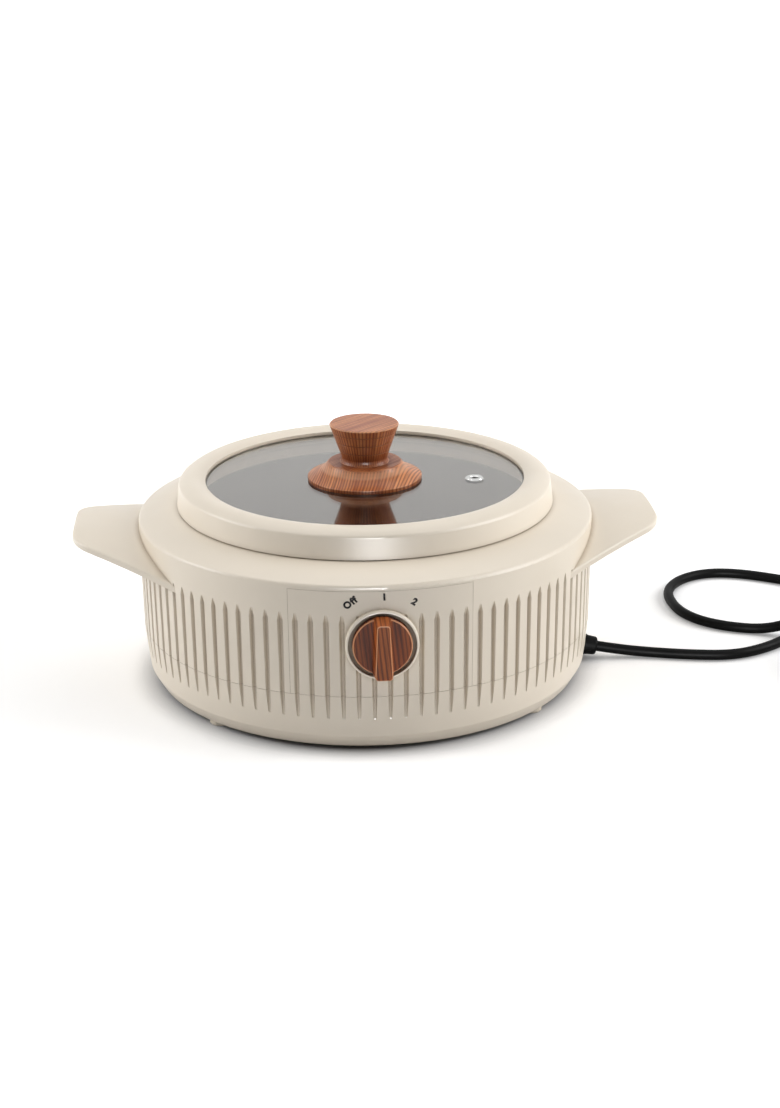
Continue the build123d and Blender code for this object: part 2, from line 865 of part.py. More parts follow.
# Heat shield: shallow dish whose four arms are clamped between base bosses and pillars
with BuildPart() as heat_shield:
    with BuildSketch(Plane.XY.offset(shield_height)):
        Circle(shield_outer_radius)
        for angle, spot in zip(pillar_angles, pillar_spots):
            with Locations(Location(on_ring((shield_radius + pillar_ring_radius) / 2, angle), (0, 0, angle))):
                Rectangle(pillar_ring_radius - shield_radius + 2 * overcut, arm_width)
            with Locations(spot):
                Circle(arm_width / 2)
        with Locations(*pillar_spots):
            Circle(base_screw_radius + screw_gap, mode=Mode.SUBTRACT)
        with Locations(*stud_spots):
            Circle(stud_radius + screw_gap, mode=Mode.SUBTRACT)
    extrude(amount=shield_thickness)
    with BuildSketch(Plane.XY.offset(shield_height)):
        Circle(shield_outer_radius)
        Circle(shield_radius, mode=Mode.SUBTRACT)
    extrude(amount=shield_rim + shield_thickness)

write(heat_shield.part, "heat_shield")

# Thermostat in the middle of the plate, pressed up by a bent spring strip
thermostat_bottom = plate_bottom - thermostat_height
with BuildPart() as thermostat:
    with BuildSketch(Plane.XY.offset(thermostat_bottom)):
        Circle(thermostat_radius)
    extrude(amount=thermostat_height)
    chamfer(thermostat.edges().filter_by(GeomType.CIRCLE).sort_by(Axis.Z)[0], length=thermostat_edge)
    with BuildSketch(Plane.XY.offset(thermostat_bottom + thermostat_height / 2)):
        for side in (-1, 1):
            with Locations((0, side * (thermostat_radius + thermostat_blade_offset))):
                Rectangle(thermostat_blade[0], thermostat_blade[1])
    extrude(amount=thermostat_blade[2])

write(thermostat.part, "thermostat")

with BuildPart() as thermostat_clip:
    with BuildSketch(Plane.XZ.offset(-clip_width / 2)):
        with BuildLine():
            half = clip_span / 2
            low = pillar_bottom
            high = thermostat_bottom - clip_thickness
            Polyline(
                (-half, low),
                (-half + clip_foot, low),
                (-half + clip_rise, high),
                (half - clip_rise, high),
                (half - clip_foot, low),
                (half, low),
                (half, low + clip_thickness),
                (half - clip_foot - clip_bend, low + clip_thickness),
                (half - clip_rise - clip_bend, high + clip_thickness),
                (-half + clip_rise + clip_bend, high + clip_thickness),
                (-half + clip_foot + clip_bend, low + clip_thickness),
                (-half, low + clip_thickness),
                close=True,
            )
        make_face()
    extrude(amount=clip_width)

write(thermostat_clip.part, "thermostat_clip")

with BuildPart() as thermal_fuse:
    fuse_centre = Vector(-fuse_ring, -fuse_length / 2, plate_bottom - fuse_radius - running_gap)
    with BuildSketch(Plane(origin=fuse_centre, z_dir=(0, 1, 0))):
        Circle(fuse_radius)
    extrude(amount=fuse_length)
    with BuildSketch(Plane(origin=fuse_centre - Vector(0, fuse_lead, 0), z_dir=(0, 1, 0))):
        Circle(fuse_lead_radius)
    extrude(amount=fuse_length + 2 * fuse_lead)

write(thermal_fuse.part, "thermal_fuse")

# Rotary switch: housing against the back of the panel, threaded bushing and nut, four terminals
switch_plane = dial_plane.offset(switch_seat)
with BuildPart() as rotary_switch:
    with BuildSketch(switch_plane):
        RectangleRounded(switch_width, switch_height, switch_corner)
    extrude(amount=-switch_depth)
    with BuildSketch(switch_plane):
        Circle(bushing_radius)
    extrude(amount=bushing_front - switch_seat)
    with BuildSketch(dial_plane.offset(shaft_back - overcut)):
        Circle(shaft_radius + running_gap)
    extrude(amount=bushing_front - shaft_back + overcut, mode=Mode.SUBTRACT)
    with BuildSketch(switch_plane.offset(-switch_depth)):
        with GridLocations(switch_blade_spacing, switch_blade_spacing, 2, 2):
            Rectangle(switch_blade[0], switch_blade[1])
    extrude(amount=-switch_blade[2])

write(rotary_switch.part, "rotary_switch")

with BuildPart() as switch_nut:
    with BuildSketch(dial_plane.offset(well_floor)):
        RegularPolygon(nut_width / 2, 6, major_radius=False)
        Circle(bushing_radius + running_gap, mode=Mode.SUBTRACT)
    extrude(amount=nut_thickness)

write(switch_nut.part, "switch_nut")

# Switch shaft with its flat, and the dial that it carries
with BuildPart() as switch_shaft:
    with BuildSketch(dial_plane.offset(shaft_back)):
        Circle(shaft_radius)
    extrude(amount=shaft_front - shaft_back)
    with BuildSketch(dial_plane.offset(bushing_front)):
        with Locations((0, shaft_flat + shaft_radius)):
            Rectangle(3 * shaft_radius, 2 * shaft_radius)
    extrude(amount=shaft_front - bushing_front, mode=Mode.SUBTRACT)

write(switch_shaft.part, "switch_shaft")


def grip_lines(length, top_width, bottom_width):
    """Outline of the pointer bar, narrow at its top end."""
    Polyline(
        (-top_width / 2, length / 2),
        (top_width / 2, length / 2),
        (bottom_width / 2, -length / 2),
        (-bottom_width / 2, -length / 2),
        close=True,
    )


with BuildPart() as dial_knob:
    with BuildSketch(dial_plane.offset(dial_back)):
        Circle(dial_radius)
    extrude(amount=dial_face - dial_back)
    chamfer(dial_knob.edges().filter_by(GeomType.CIRCLE).sort_by(Axis.Y)[0], length=dial_bevel)
    grips = ((dial_face - dial_bevel, grip_draft), (grip_front, 0))
    for depth, draft in grips:
        with BuildSketch(dial_plane.offset(depth)) as grip_section:
            with BuildLine():
                length = grip_length - 2 * (grip_draft - draft)
                grip_lines(length, grip_top_width + 2 * draft, grip_bottom_width + 2 * draft)
            make_face()
            fillet(grip_section.vertices(), radius=grip_corner)
    loft()
    fillet(dial_knob.faces().sort_by(Axis.Y)[0].edges(), radius=grip_edge_round)
    with BuildSketch(dial_plane.offset(dial_back)):
        Circle(pocket_radius)
    extrude(amount=pocket_depth, mode=Mode.SUBTRACT)
    with BuildSketch(dial_plane.offset(dial_back)):
        Circle(shaft_radius + running_gap)
        with Locations((0, shaft_flat + running_gap + shaft_radius)):
            Rectangle(3 * shaft_radius, 2 * shaft_radius, mode=Mode.SUBTRACT)
    extrude(amount=shaft_front + lip_clearance - dial_back, mode=Mode.SUBTRACT)

write(dial_knob.part, "dial_knob")

# Lid ring: skirt, crown, window rebate for the glass, and the lip that enters the pan
with BuildPart() as lid_ring:
    with BuildSketch(Plane.XZ):
        with BuildLine():
            skirt_line = Line((ring_radius, ring_bottom), (ring_edge_radius, ring_edge_height))
            crown_middle = (ring_crown_radius, ring_crown_height)
            crown = ThreePointArc(skirt_line @ 1, crown_middle, (ring_window_radius, ring_window_height))
            sleeve_radius = glass_radius + glass_clearance
            bead = glass_bottom - seal_height - lip_clearance
            Polyline(
                crown @ 1,
                (ring_window_radius, glass_top),
                (sleeve_radius, glass_top),
                (sleeve_radius, bead),
                (sleeve_radius - snap_bead, bead - snap_bead),
                (sleeve_radius, bead - 2 * snap_bead),
                (sleeve_radius, sleeve_bottom),
                (lip_outer_radius - lip_wall, sleeve_bottom),
                (lip_outer_radius - lip_wall, lip_bottom),
                (lip_outer_radius, lip_bottom),
                (lip_outer_radius, sleeve_bottom + foot_flange),
                (sleeve_radius + sleeve_wall, sleeve_bottom + foot_flange),
                (sleeve_radius + sleeve_wall, ring_window_height - ring_wall),
                (ring_crown_radius, ring_crown_height - ring_wall),
                (ring_edge_radius - ring_wall, ring_edge_height - ring_wall),
                (ring_radius - ring_wall, ring_bottom),
                (ring_radius, ring_bottom),
            )
        ring_section = make_face()
        ring_corner = ring_section.vertices().sort_by_distance((ring_edge_radius, ring_edge_height))[0]
        fillet(ring_corner, radius=ring_edge_round)
    revolve(axis=Axis.Z)

write(lid_ring.part, "lid_ring")

vent_spot = on_ring(vent_radius, vent_angle)
with BuildPart() as lid_glass:
    with BuildSketch(Plane.XY.offset(glass_bottom)):
        Circle(glass_radius)
        Circle(screw_bore, mode=Mode.SUBTRACT)
        with Locations(vent_spot):
            Circle(vent_barrel_radius + vent_clearance, mode=Mode.SUBTRACT)
    extrude(amount=glass_thickness)
    chamfer(lid_glass.edges().filter_by(GeomType.CIRCLE).group_by(SortBy.LENGTH)[-1], length=glass_edge)

write(lid_glass.part, "lid_glass")

with BuildPart() as lid_seal:
    with BuildSketch(Plane.XY.offset(glass_bottom - seal_height)):
        Circle(sleeve_radius - vent_clearance)
        Circle(sleeve_radius - seal_width, mode=Mode.SUBTRACT)
    extrude(amount=seal_height)

write(lid_seal.part, "lid_seal")

# Vent eyelet: a flanged tube, rolled over under the glass
with BuildPart() as vent_eyelet:
    with BuildSketch(Plane.XZ):
        with BuildLine():
            Polyline(
                (vent_hole_radius, glass_bottom - vent_flange),
                (vent_flange_radius - vent_flange, glass_bottom - vent_flange),
                (vent_flange_radius - vent_flange, glass_bottom),
                (vent_barrel_radius, glass_bottom),
                (vent_barrel_radius, glass_top),
                (vent_flange_radius, glass_top),
                (vent_flange_radius - vent_flange, glass_top + vent_flange),
                (vent_hole_radius + vent_flange, glass_top + vent_flange),
                (vent_hole_radius, glass_top),
                close=True,
            )
        make_face()
    revolve(axis=Axis.Z)

vent_eyelet.part.locate(Location(vent_spot))
write(vent_eyelet.part, "vent_eyelet")

# Knob skirt: rim on the glass, hollow cone up to the ledge that the knob sits on
with BuildPart() as knob_skirt:
    with BuildSketch(Plane.XZ):
        with BuildLine():
            rim_top = glass_top + skirt_rim_height
            skirt_middle = (
                (skirt_rim_radius + skirt_neck_radius) / 2 - skirt_dip[0],
                (rim_top + knob_base) / 2 - skirt_dip[1],
            )
            cone = ThreePointArc((skirt_rim_radius, rim_top), skirt_middle, (skirt_neck_radius, knob_base))
            Polyline(
                cone @ 1,
                (screw_bore, knob_base),
                (screw_bore, glass_top),
                (washer_radius, glass_top),
                (washer_radius, knob_base - skirt_wall),
                (skirt_neck_radius - skirt_wall, knob_base - skirt_wall),
                (skirt_rim_radius - skirt_wall, rim_top - skirt_inner_drop),
                (skirt_rim_radius - skirt_wall, glass_top),
                (skirt_rim_radius, glass_top),
                cone @ 0,
            )
        make_face()
    revolve(axis=Axis.Z)
    skirt_circles = knob_skirt.edges().filter_by(GeomType.CIRCLE)
    ledge_circle = skirt_circles.group_by(Axis.Z)[-1].sort_by(SortBy.RADIUS)[-1]
    rim_circle = skirt_circles.group_by(SortBy.RADIUS)[-1].sort_by(Axis.Z)[-1]
    chamfer(ledge_circle, length=skirt_ledge_edge)
    fillet(rim_circle, radius=skirt_edge_round)

write(knob_skirt.part, "knob_skirt")

# Turned knob: short flared foot, straight cone with three scored lines, bevelled flat top
knob_top = knob_base + knob_height
with BuildPart() as lid_knob:
    with BuildSketch(Plane.XZ):
        with BuildLine():
            foot_points = [(knob_waist_radius + grow, knob_base + rise) for grow, rise in knob_foot]
            foot_arc = ThreePointArc(*foot_points)
            flank = Line(foot_points[-1], (knob_top_radius, knob_top - knob_bevel))
            Polyline(
                flank @ 1,
                (knob_top_radius - knob_bevel, knob_top),
                (0, knob_top),
                (0, knob_base),
                foot_arc @ 0,
            )
        make_face()
        foot_rise = knob_foot[-1][1]
        flank_rise = knob_height - knob_bevel - foot_rise
        with Locations(*[flank @ ((height - foot_rise) / flank_rise) for height in knob_score_heights]):
            RegularPolygon(knob_line, 4, mode=Mode.SUBTRACT)
    revolve(axis=Axis.Z)
    with BuildSketch(Plane.XY.offset(knob_base)):
        Circle(insert_radius)
    extrude(amount=insert_length, mode=Mode.SUBTRACT)

write(lid_knob.part, "lid_knob")

with BuildPart() as knob_insert:
    with BuildSketch(Plane.XY.offset(knob_base)):
        Circle(insert_radius)
        Circle(screw_radius + running_gap, mode=Mode.SUBTRACT)
    extrude(amount=insert_length)

write(knob_insert.part, "knob_insert")

with BuildPart() as knob_washer:
    with BuildSketch(Plane.XY.offset(glass_bottom - washer_thickness)):
        Circle(washer_radius)
        Circle(screw_bore, mode=Mode.SUBTRACT)
    extrude(amount=washer_thickness)

write(knob_washer.part, "knob_washer")

with BuildPart() as knob_screw:
    head_top = glass_bottom - washer_thickness
    with BuildSketch(Plane.XY.offset(head_top - screw_head_height)):
        Circle(screw_head_radius)
    extrude(amount=screw_head_height)
    fillet(knob_screw.edges().filter_by(GeomType.CIRCLE).sort_by(Axis.Z)[0], radius=screw_head_round)
    with BuildSketch(Plane.XY.offset(head_top)):
        Circle(screw_radius)
    extrude(amount=screw_length)
    with BuildSketch(Plane.XY.offset(head_top - screw_head_height)):
        Rectangle(screw_slot, screw_head_radius)
        Rectangle(screw_head_radius, screw_slot)
    extrude(amount=screw_head_height / 2, mode=Mode.SUBTRACT)

write(knob_screw.part, "knob_screw")

# Strain relief: flange on the wall, taper outside, neck and bead inside
relief_end = relief_plane.origin + relief_axis * relief_length
with BuildPart() as strain_relief:
    with BuildSketch(relief_plane):
        Circle(relief_flange_radius)
    extrude(amount=relief_flange)
    with BuildSketch(relief_plane.offset(relief_flange)):
        Circle(relief_root_radius)
    with BuildSketch(relief_plane.offset(relief_length)):
        Circle(relief_tip_radius)
    loft()
    front_circle = strain_relief.edges().filter_by(GeomType.CIRCLE).sort_by(Axis.X)[-1]
    fillet(front_circle, radius=relief_front_round)
    with BuildSketch(relief_plane):
        Circle(relief_neck_radius)
    extrude(amount=-relief_inside)
    with BuildSketch(relief_plane.offset(-relief_inside)):
        Circle(relief_neck_radius + foot_bead)
    extrude(amount=relief_inside - boss_length)

write(strain_relief.part, "strain_relief")

# Coil of the spare lead: a spiral inwards, half a turn that climbs a layer, and a spiral outwards
layer_rise = coil_pitch
layer_sweep = 360 * coil_layer_turns
coil_spread = coil_pitch / 360


def coil_point(sweep):
    """Point of the coil's centre line after a sweep in degrees from its start, clockwise from above."""
    climb = min(max(sweep - layer_sweep, 0), 180)
    radius = coil_outer_radius - coil_spread * min(sweep, layer_sweep)
    radius -= coil_spread * math.degrees(math.sin(math.radians(climb)))
    radius += coil_spread * max(sweep - layer_sweep - 180, 0)
    height = coil_height + layer_rise / 2 * (1 - math.cos(math.radians(climb)))
    spot = on_ring(radius, coil_start_angle - sweep, height)
    return spot + Vector(coil_centre[0], coil_centre[1], 0)


def coil_heading(sweep):
    return (coil_point(sweep + 0.01) - coil_point(sweep - 0.01)).normalized()


def biarc(start, start_heading, end, end_heading):
    """Two tangent arcs between two points with given headings."""
    chord = end - start
    total = start_heading + end_heading
    a = 2 * (start_heading.dot(end_heading) - 1)
    b = -2 * chord.dot(total)
    c = chord.dot(chord)
    reach = (-b - math.sqrt(b * b - 4 * a * c)) / (2 * a)
    first = start + start_heading * reach
    second = end - end_heading * reach
    middle = (first + second) / 2
    TangentArc(start, middle, tangent=start_heading)
    TangentArc(middle, end, tangent=second - first)


coil_end_sweep = 2 * layer_sweep + 180
layer_parts = math.ceil(layer_sweep / 90)
coil_sweeps = [layer_sweep * k / layer_parts for k in range(layer_parts + 1)]
coil_sweeps.append(layer_sweep + 90)
coil_sweeps += [layer_sweep + 180 + layer_sweep * k / layer_parts for k in range(layer_parts + 1)]
coil_first = coil_point(0) - coil_heading(0) * 2 * cord_radius
coil_last_heading = coil_heading(coil_end_sweep)
coil_last = coil_point(coil_end_sweep) + coil_last_heading * 2 * cord_radius
with BuildPart() as cord_coil:
    with BuildLine() as coil_path:
        Line(coil_first, coil_point(0))
        for here, there in zip(coil_sweeps, coil_sweeps[1:]):
            biarc(coil_point(here), coil_heading(here), coil_point(there), coil_heading(there))
        Line(coil_point(coil_end_sweep), coil_last)
    with BuildSketch(Plane(origin=coil_first, z_dir=coil_heading(0))):
        Circle(cord_radius)
    sweep(path=coil_path.wire())

coil_samples = [(sweep, tuple(coil_point(sweep))) for sweep in range(0, int(coil_end_sweep), 3)]
coil_gap = min(
    math.dist(one, other)
    for k, (sweep, one) in enumerate(coil_samples)
    for other_sweep, other in coil_samples[k:]
    if other_sweep - sweep > 90
)
coil_length = coil_path.wire().length
print("coil length", round(coil_length, 1), "least gap to itself", round(coil_gap - 2 * cord_radius, 2))
write(cord_coil.part, "cord_coil")

# Free stretch of the lead from the strain relief to the coil
route = [relief_end, relief_end + relief_axis * 4 * cord_radius]
route += [Vector(*point) for point in lead_route]
route += [coil_first - coil_heading(0) * coil_run_in, coil_first]
with BuildPart() as cord_lead:
    with BuildLine() as lead_path:
        FilletPolyline(*route, radius=corner_bends(route, coil_outer_radius))
    with BuildSketch(Plane(origin=relief_end, z_dir=relief_axis)):
        Circle(cord_radius)
    sweep(path=lead_path.wire())

lead_length = lead_path.wire().length
print("lead length", round(lead_length, 1), "whole cord", round(lead_length + coil_length, 1))
write(cord_lead.part, "cord_lead")

# Tie round the four strands of the coil
tie_plane = Plane(
    origin=Vector(coil_centre[0], coil_centre[1], 0),
    x_dir=on_ring(1, tie_angle),
    z_dir=on_ring(1, tie_angle - 90),
)
inner_pass = coil_outer_radius - coil_spread * (coil_start_angle - tie_angle + 360)
stack_middle = (inner_pass + coil_pitch / 2, coil_height + layer_rise / 2)
stack_side = layer_rise + 2 * cord_radius + 2 * tie_gap
with BuildPart() as coil_tie:
    with BuildSketch(tie_plane.offset(-tie_width / 2)):
        with Locations(stack_middle):
            tie_side = stack_side + 2 * tie_thickness
            RectangleRounded(tie_side, tie_side, cord_radius + tie_thickness)
            RectangleRounded(stack_side, stack_side, cord_radius, mode=Mode.SUBTRACT)
    extrude(amount=tie_width)

write(coil_tie.part, "coil_tie")

# Moulded plug with two flat blades
plug_plane = Plane(origin=coil_last, x_dir=(1, 0, 0), z_dir=coil_last_heading)
with BuildPart() as plug_body:
    for length, radius in ((0, plug_tip_radius), (plug_relief_length, relief_root_radius)):
        with BuildSketch(plug_plane.offset(length)):
            Circle(radius)
    loft()
    with BuildSketch(plug_plane.offset(plug_relief_length - plug_front_round)):
        Circle(relief_root_radius)
    with BuildSketch(plug_plane.offset(plug_relief_length + plug_shoulder_length)):
        Circle(plug_radius)
    loft()
    with BuildSketch(plug_plane.offset(plug_relief_length + plug_shoulder_length)):
        Circle(plug_radius)
    extrude(amount=plug_length - plug_shoulder_length)
    fillet(plug_body.edges().filter_by(GeomType.CIRCLE).sort_by(Axis.Y)[0], radius=plug_front_round)

write(plug_body.part, "plug_body")

with BuildPart() as plug_blades:
    with BuildSketch(plug_plane.offset(plug_relief_length + plug_length)):
        with Locations((-blade_spacing / 2, 0), (blade_spacing / 2, 0)):
            Rectangle(blade_thickness, blade_width)
    extrude(amount=blade_length)

write(plug_blades.part, "plug_blades")

# Inner end of the lead, its clamp and the terminal block on the floor
sheath_points = [
    sheath_start,
    sheath_start - relief_axis * sheath_run_in,
    on_ring(clamp_ring + clamp_width / 2, relief_angle, sheath_height),
    on_ring(sheath_end, relief_angle, sheath_height),
]
with BuildPart() as inner_lead:
    with BuildLine() as sheath_path:
        FilletPolyline(*sheath_points, radius=corner_bends(sheath_points, wire_bend))
    with BuildSketch(Plane(origin=sheath_start, z_dir=-relief_axis)):
        Circle(cord_radius)
    sweep(path=sheath_path.wire())

write(inner_lead.part, "inner_lead")

clamp_level = sheath_height + cord_radius
with BuildPart() as lead_clamp:
    with BuildSketch(inner_floor.offset(clamp_level - floor_top)):
        with Locations((clamp_ring, 0)):
            SlotOverall(2 * (clamp_spread + clamp_width / 2), clamp_width, rotation=90)
        with Locations((clamp_ring, -clamp_spread), (clamp_ring, clamp_spread)):
            Circle(pin_radius + screw_gap, mode=Mode.SUBTRACT)
    extrude(amount=clamp_thickness)

write(lead_clamp.part, "lead_clamp")

with BuildPart() as clamp_screws:
    with BuildSketch(inner_floor):
        with Locations((clamp_ring, -clamp_spread), (clamp_ring, clamp_spread)):
            Circle(pin_radius)
    extrude(amount=clamp_level + clamp_thickness - floor_top)
    with BuildSketch(inner_floor.offset(clamp_level + clamp_thickness - floor_top)):
        with Locations((clamp_ring, -clamp_spread), (clamp_ring, clamp_spread)):
            Circle(clamp_head_radius)
    extrude(amount=clamp_head_height)

write(clamp_screws.part, "clamp_screws")

with BuildPart() as terminal_block:
    with BuildSketch(inner_floor):
        with Locations((block_ring, 0)):
            Rectangle(block_depth, block_width)
    extrude(amount=block_height)
    chamfer(terminal_block.edges().group_by(Axis.Z)[-1], length=block_edge)
    with BuildSketch(inner_floor.offset(block_height)):
        with Locations((block_ring, 0)):
            with GridLocations(block_row_spacing, block_column_spacing, 2, 4):
                Circle(wire_radius + block_hole_gap)
    extrude(amount=-block_hole_depth, mode=Mode.SUBTRACT)

write(terminal_block.part, "terminal_block")


def block_hole(row, column):
    """Foot of a screw hole of the terminal block: row 0 or 1 outwards, column -1.5 to 1.5 across."""
    outward = block_ring + (row - 0.5) * block_row_spacing
    return inner_floor.from_local_coords(
        Vector(outward, column * block_column_spacing, block_height - block_hole_depth)
    )


def wire_lines(points):
    """Insulated wire along a route, as a solid."""
    with BuildPart() as wire:
        with BuildLine() as wire_path:
            FilletPolyline(*points, radius=corner_bends(points, wire_bend))
        with BuildSketch(Plane(origin=points[0], z_dir=points[1] - points[0])):
            Circle(wire_radius)
        sweep(path=wire_path.wire())
    return wire.part


# Two wires from the switch round the pan to the terminal block
blade_bottom = dial_height - switch_blade_spacing / 2 - switch_blade[1] / 2
blade_middle = switch_depth - switch_seat + switch_blade[2] / 2
switch_wires = Part()
for side, column, level in ((1, -1.5, wire_level), (-1, -0.5, wire_level + wire_spacing)):
    blade_x = side * switch_blade_spacing / 2
    mouth = block_hole(1, column)
    along_wall = [on_ring(-blade_middle, angle, level) for angle in wire_wall_angles]
    blade_foot = Vector(blade_x, blade_middle, blade_bottom)
    turn_in = Vector(blade_x, blade_middle, level)
    switch_wires += wire_lines([blade_foot, turn_in, *along_wall, Vector(mouth.X, mouth.Y, level), mouth])

write(switch_wires, "switch_wires")

# Two wires from the pins of the element over the rim of the shield to the terminal block
heater_wires = Part()
for (end, outward), column in zip(leg_ends, (1.5, 0.5)):
    mouth = block_hole(0, column)
    pin_tip = end + outward * pin_length
    above_mouth = Vector(mouth.X, mouth.Y, element_height)
    heater_wires += wire_lines([pin_tip, pin_tip + outward * wire_stub, above_mouth, mouth])

write(heater_wires, "heater_wires")
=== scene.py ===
import json
import math

import bpy
from mathutils import Matrix, Vector


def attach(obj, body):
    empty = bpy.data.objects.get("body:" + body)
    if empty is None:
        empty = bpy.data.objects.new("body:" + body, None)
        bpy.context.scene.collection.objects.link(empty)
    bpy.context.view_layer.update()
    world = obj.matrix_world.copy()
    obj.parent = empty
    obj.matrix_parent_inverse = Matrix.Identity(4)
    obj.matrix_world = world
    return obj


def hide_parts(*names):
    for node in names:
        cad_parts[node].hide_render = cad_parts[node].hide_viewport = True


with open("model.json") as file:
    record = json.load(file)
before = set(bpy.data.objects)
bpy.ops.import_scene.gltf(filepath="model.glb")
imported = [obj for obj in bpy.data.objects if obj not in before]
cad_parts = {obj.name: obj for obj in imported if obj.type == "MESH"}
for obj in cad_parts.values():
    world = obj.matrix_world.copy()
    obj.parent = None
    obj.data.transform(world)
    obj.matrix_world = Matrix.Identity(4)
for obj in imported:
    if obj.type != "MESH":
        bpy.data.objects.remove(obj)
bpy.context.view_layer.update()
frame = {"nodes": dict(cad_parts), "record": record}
nodes = frame["nodes"]
print("frame loaded,", len(nodes), "nodes")


def tint(red, green, blue):  # screen colour, 0 to 255, as Blender's linear colour
    channels = []
    for part in (red, green, blue):
        share = part / 255
        channels.append(share / 12.92 if share <= 0.04045 else ((share + 0.055) / 1.055) ** 2.4)
    return (*channels, 1.0)


def clearSelection():
    if bpy.context.object is not None and bpy.context.object.mode != "OBJECT":
        bpy.ops.object.mode_set(mode="OBJECT")
    bpy.ops.object.select_all(action="DESELECT")


# camera, set to the photograph's view, in metres and degrees
viewpoint = {
    "target": (0.01554, -0.00114, 0.07442),
    "distance": 1.2518,
    "azimuth": -4.2,
    "elevation": 19.792,
    "roll": -0.566,
    "lens": 62.757,
    "sensorWidth": 36.0,
    "clipStart": 0.05,
    "clipEnd": 20.0,
}


def placeCamera(view):
    side = math.radians(view["azimuth"])
    up = math.radians(view["elevation"])
    back = Vector((math.sin(side) * math.cos(up), -math.cos(side) * math.cos(up), math.sin(up)))
    bpy.ops.object.camera_add(location=Vector(view["target"]) + back * view["distance"])
    camera = bpy.context.object
    camera.name = "photoCamera"
    turn = (-back).to_track_quat("-Z", "Y").to_matrix().to_4x4()
    turn = turn @ Matrix.Rotation(math.radians(view["roll"]), 4, "Z")
    camera.rotation_euler = turn.to_euler()
    camera.data.lens = view["lens"]
    camera.data.sensor_width = view["sensorWidth"]
    camera.data.clip_start = view["clipStart"]
    camera.data.clip_end = view["clipEnd"]
    bpy.context.scene.camera = camera


clearSelection()
placeCamera(viewpoint)
print("camera placed")

# mains lead in metres and degrees: one line to the plug, its unseen length in a coil of two layers
lead = {
    "radius": 0.0035,
    "start": (0.1505, -0.0110, 0.0087),
    "startAngle": -4.2,
    "startTilt": 10.0,
    "startRun": 0.014,
    "route": [  # flat on the floor
        (0.184, -0.0125), (0.212, -0.020), (0.240, -0.0235), (0.265, -0.013), (0.286, 0.0045),
        (0.308, 0.013), (0.327, 0.030), (0.337, 0.056), (0.333, 0.085), (0.318, 0.105),
        (0.297, 0.119), (0.277, 0.1285), (0.2585, 0.1305), (0.2415, 0.124), (0.228, 0.1105),
        (0.2205, 0.0935), (0.2195, 0.074), (0.2225, 0.0545), (0.233, 0.037), (0.251, 0.0245),
        (0.272, 0.0188),
    ],
    "crossing": [(0.2897, 0.0095), (0.3056, 0.0011)],  # over its own first stretch
    "crossingHeight": 0.0118,
    "coilCentre": (0.327, -0.057),
    "coilRadius": 0.042,
    "coilPitch": 0.0076,
    "coilStart": 66.0,
    "coilHeight": 0.0044,
    "layerSweep": 483.0,
    "coilRunIn": 0.0163,
    "coilEndRun": 0.007,
    "headingStep": 0.5,
    "pointsPerTurn": 18,
    "curveOrder": 3,
    "curveSteps": 8,
    "roundSteps": 5,
    "length": 1.30,
}
halfTurn = 180
fullTurn = 360


def coilPoint(coil, sweep):  # inwards on the first layer, half a turn of climb, outwards on the second
    climb = min(max(sweep - coil["layerSweep"], 0), halfTurn)
    shrink = coil["coilPitch"] / fullTurn
    radius = coil["coilRadius"] - shrink * min(sweep, coil["layerSweep"])
    radius -= shrink * math.degrees(math.sin(math.radians(climb)))
    radius += shrink * max(sweep - coil["layerSweep"] - halfTurn, 0)
    height = coil["coilHeight"] + coil["coilPitch"] / 2 * (1 - math.cos(math.radians(climb)))
    angle = math.radians(coil["coilStart"] - sweep)
    across, along = coil["coilCentre"]
    return Vector((across + radius * math.cos(angle), along + radius * math.sin(angle), height))


def coilHeading(coil, sweep):
    step = coil["headingStep"]
    return (coilPoint(coil, sweep + step) - coilPoint(coil, sweep - step)).normalized()


def leadPoints(lead):
    angle = math.radians(lead["startAngle"])
    tilt = math.radians(lead["startTilt"])
    outward = Vector((math.cos(angle) * math.cos(tilt), math.sin(angle) * math.cos(tilt), -math.sin(tilt)))
    start = Vector(lead["start"])
    sweepEnd = 2 * lead["layerSweep"] + halfTurn
    headingIn = coilHeading(lead, lead["headingStep"])
    headingOut = coilHeading(lead, sweepEnd - lead["headingStep"])
    first = coilPoint(lead, 0) - headingIn * lead["coilEndRun"]
    steps = round(sweepEnd / fullTurn * lead["pointsPerTurn"])
    points = [start, start + outward * lead["startRun"]]
    points += [Vector((*spot, lead["radius"])) for spot in lead["route"]]
    points += [Vector((*spot, lead["crossingHeight"])) for spot in lead["crossing"]]
    points += [first - headingIn * lead["coilRunIn"], first]
    points += [coilPoint(lead, sweepEnd * step / steps) for step in range(steps + 1)]
    points.append(coilPoint(lead, sweepEnd) + headingOut * lead["coilEndRun"])
    return points


def makeLead(lead):
    points = leadPoints(lead)
    data = bpy.data.curves.new("mainsLead", "CURVE")
    data.dimensions = "3D"
    line = data.splines.new("NURBS")
    line.points.add(len(points) - 1)
    for spot, point in zip(line.points, points):
        spot.co = (*point, 1)
        spot.radius = lead["radius"]  # the bevel below is one metre, so this sets the thickness
    line.order_u = lead["curveOrder"]
    line.use_endpoint_u = True
    data.resolution_u = lead["curveSteps"]
    data.bevel_depth = 1.0
    data.bevel_resolution = lead["roundSteps"]
    data.use_fill_caps = True
    piece = bpy.data.objects.new("mainsLead", data)
    bpy.context.scene.collection.objects.link(piece)
    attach(piece, "cooker")
    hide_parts("cord_lead", "cord_coil")
    return piece


mainsLead = makeLead(lead)
print("mains lead laid")


# tools for the node trees
def feed(tree, socket, value):  # a socket takes another node's output or a plain value
    if isinstance(value, bpy.types.NodeSocket):
        tree.links.new(value, socket)
    else:
        socket.default_value = value


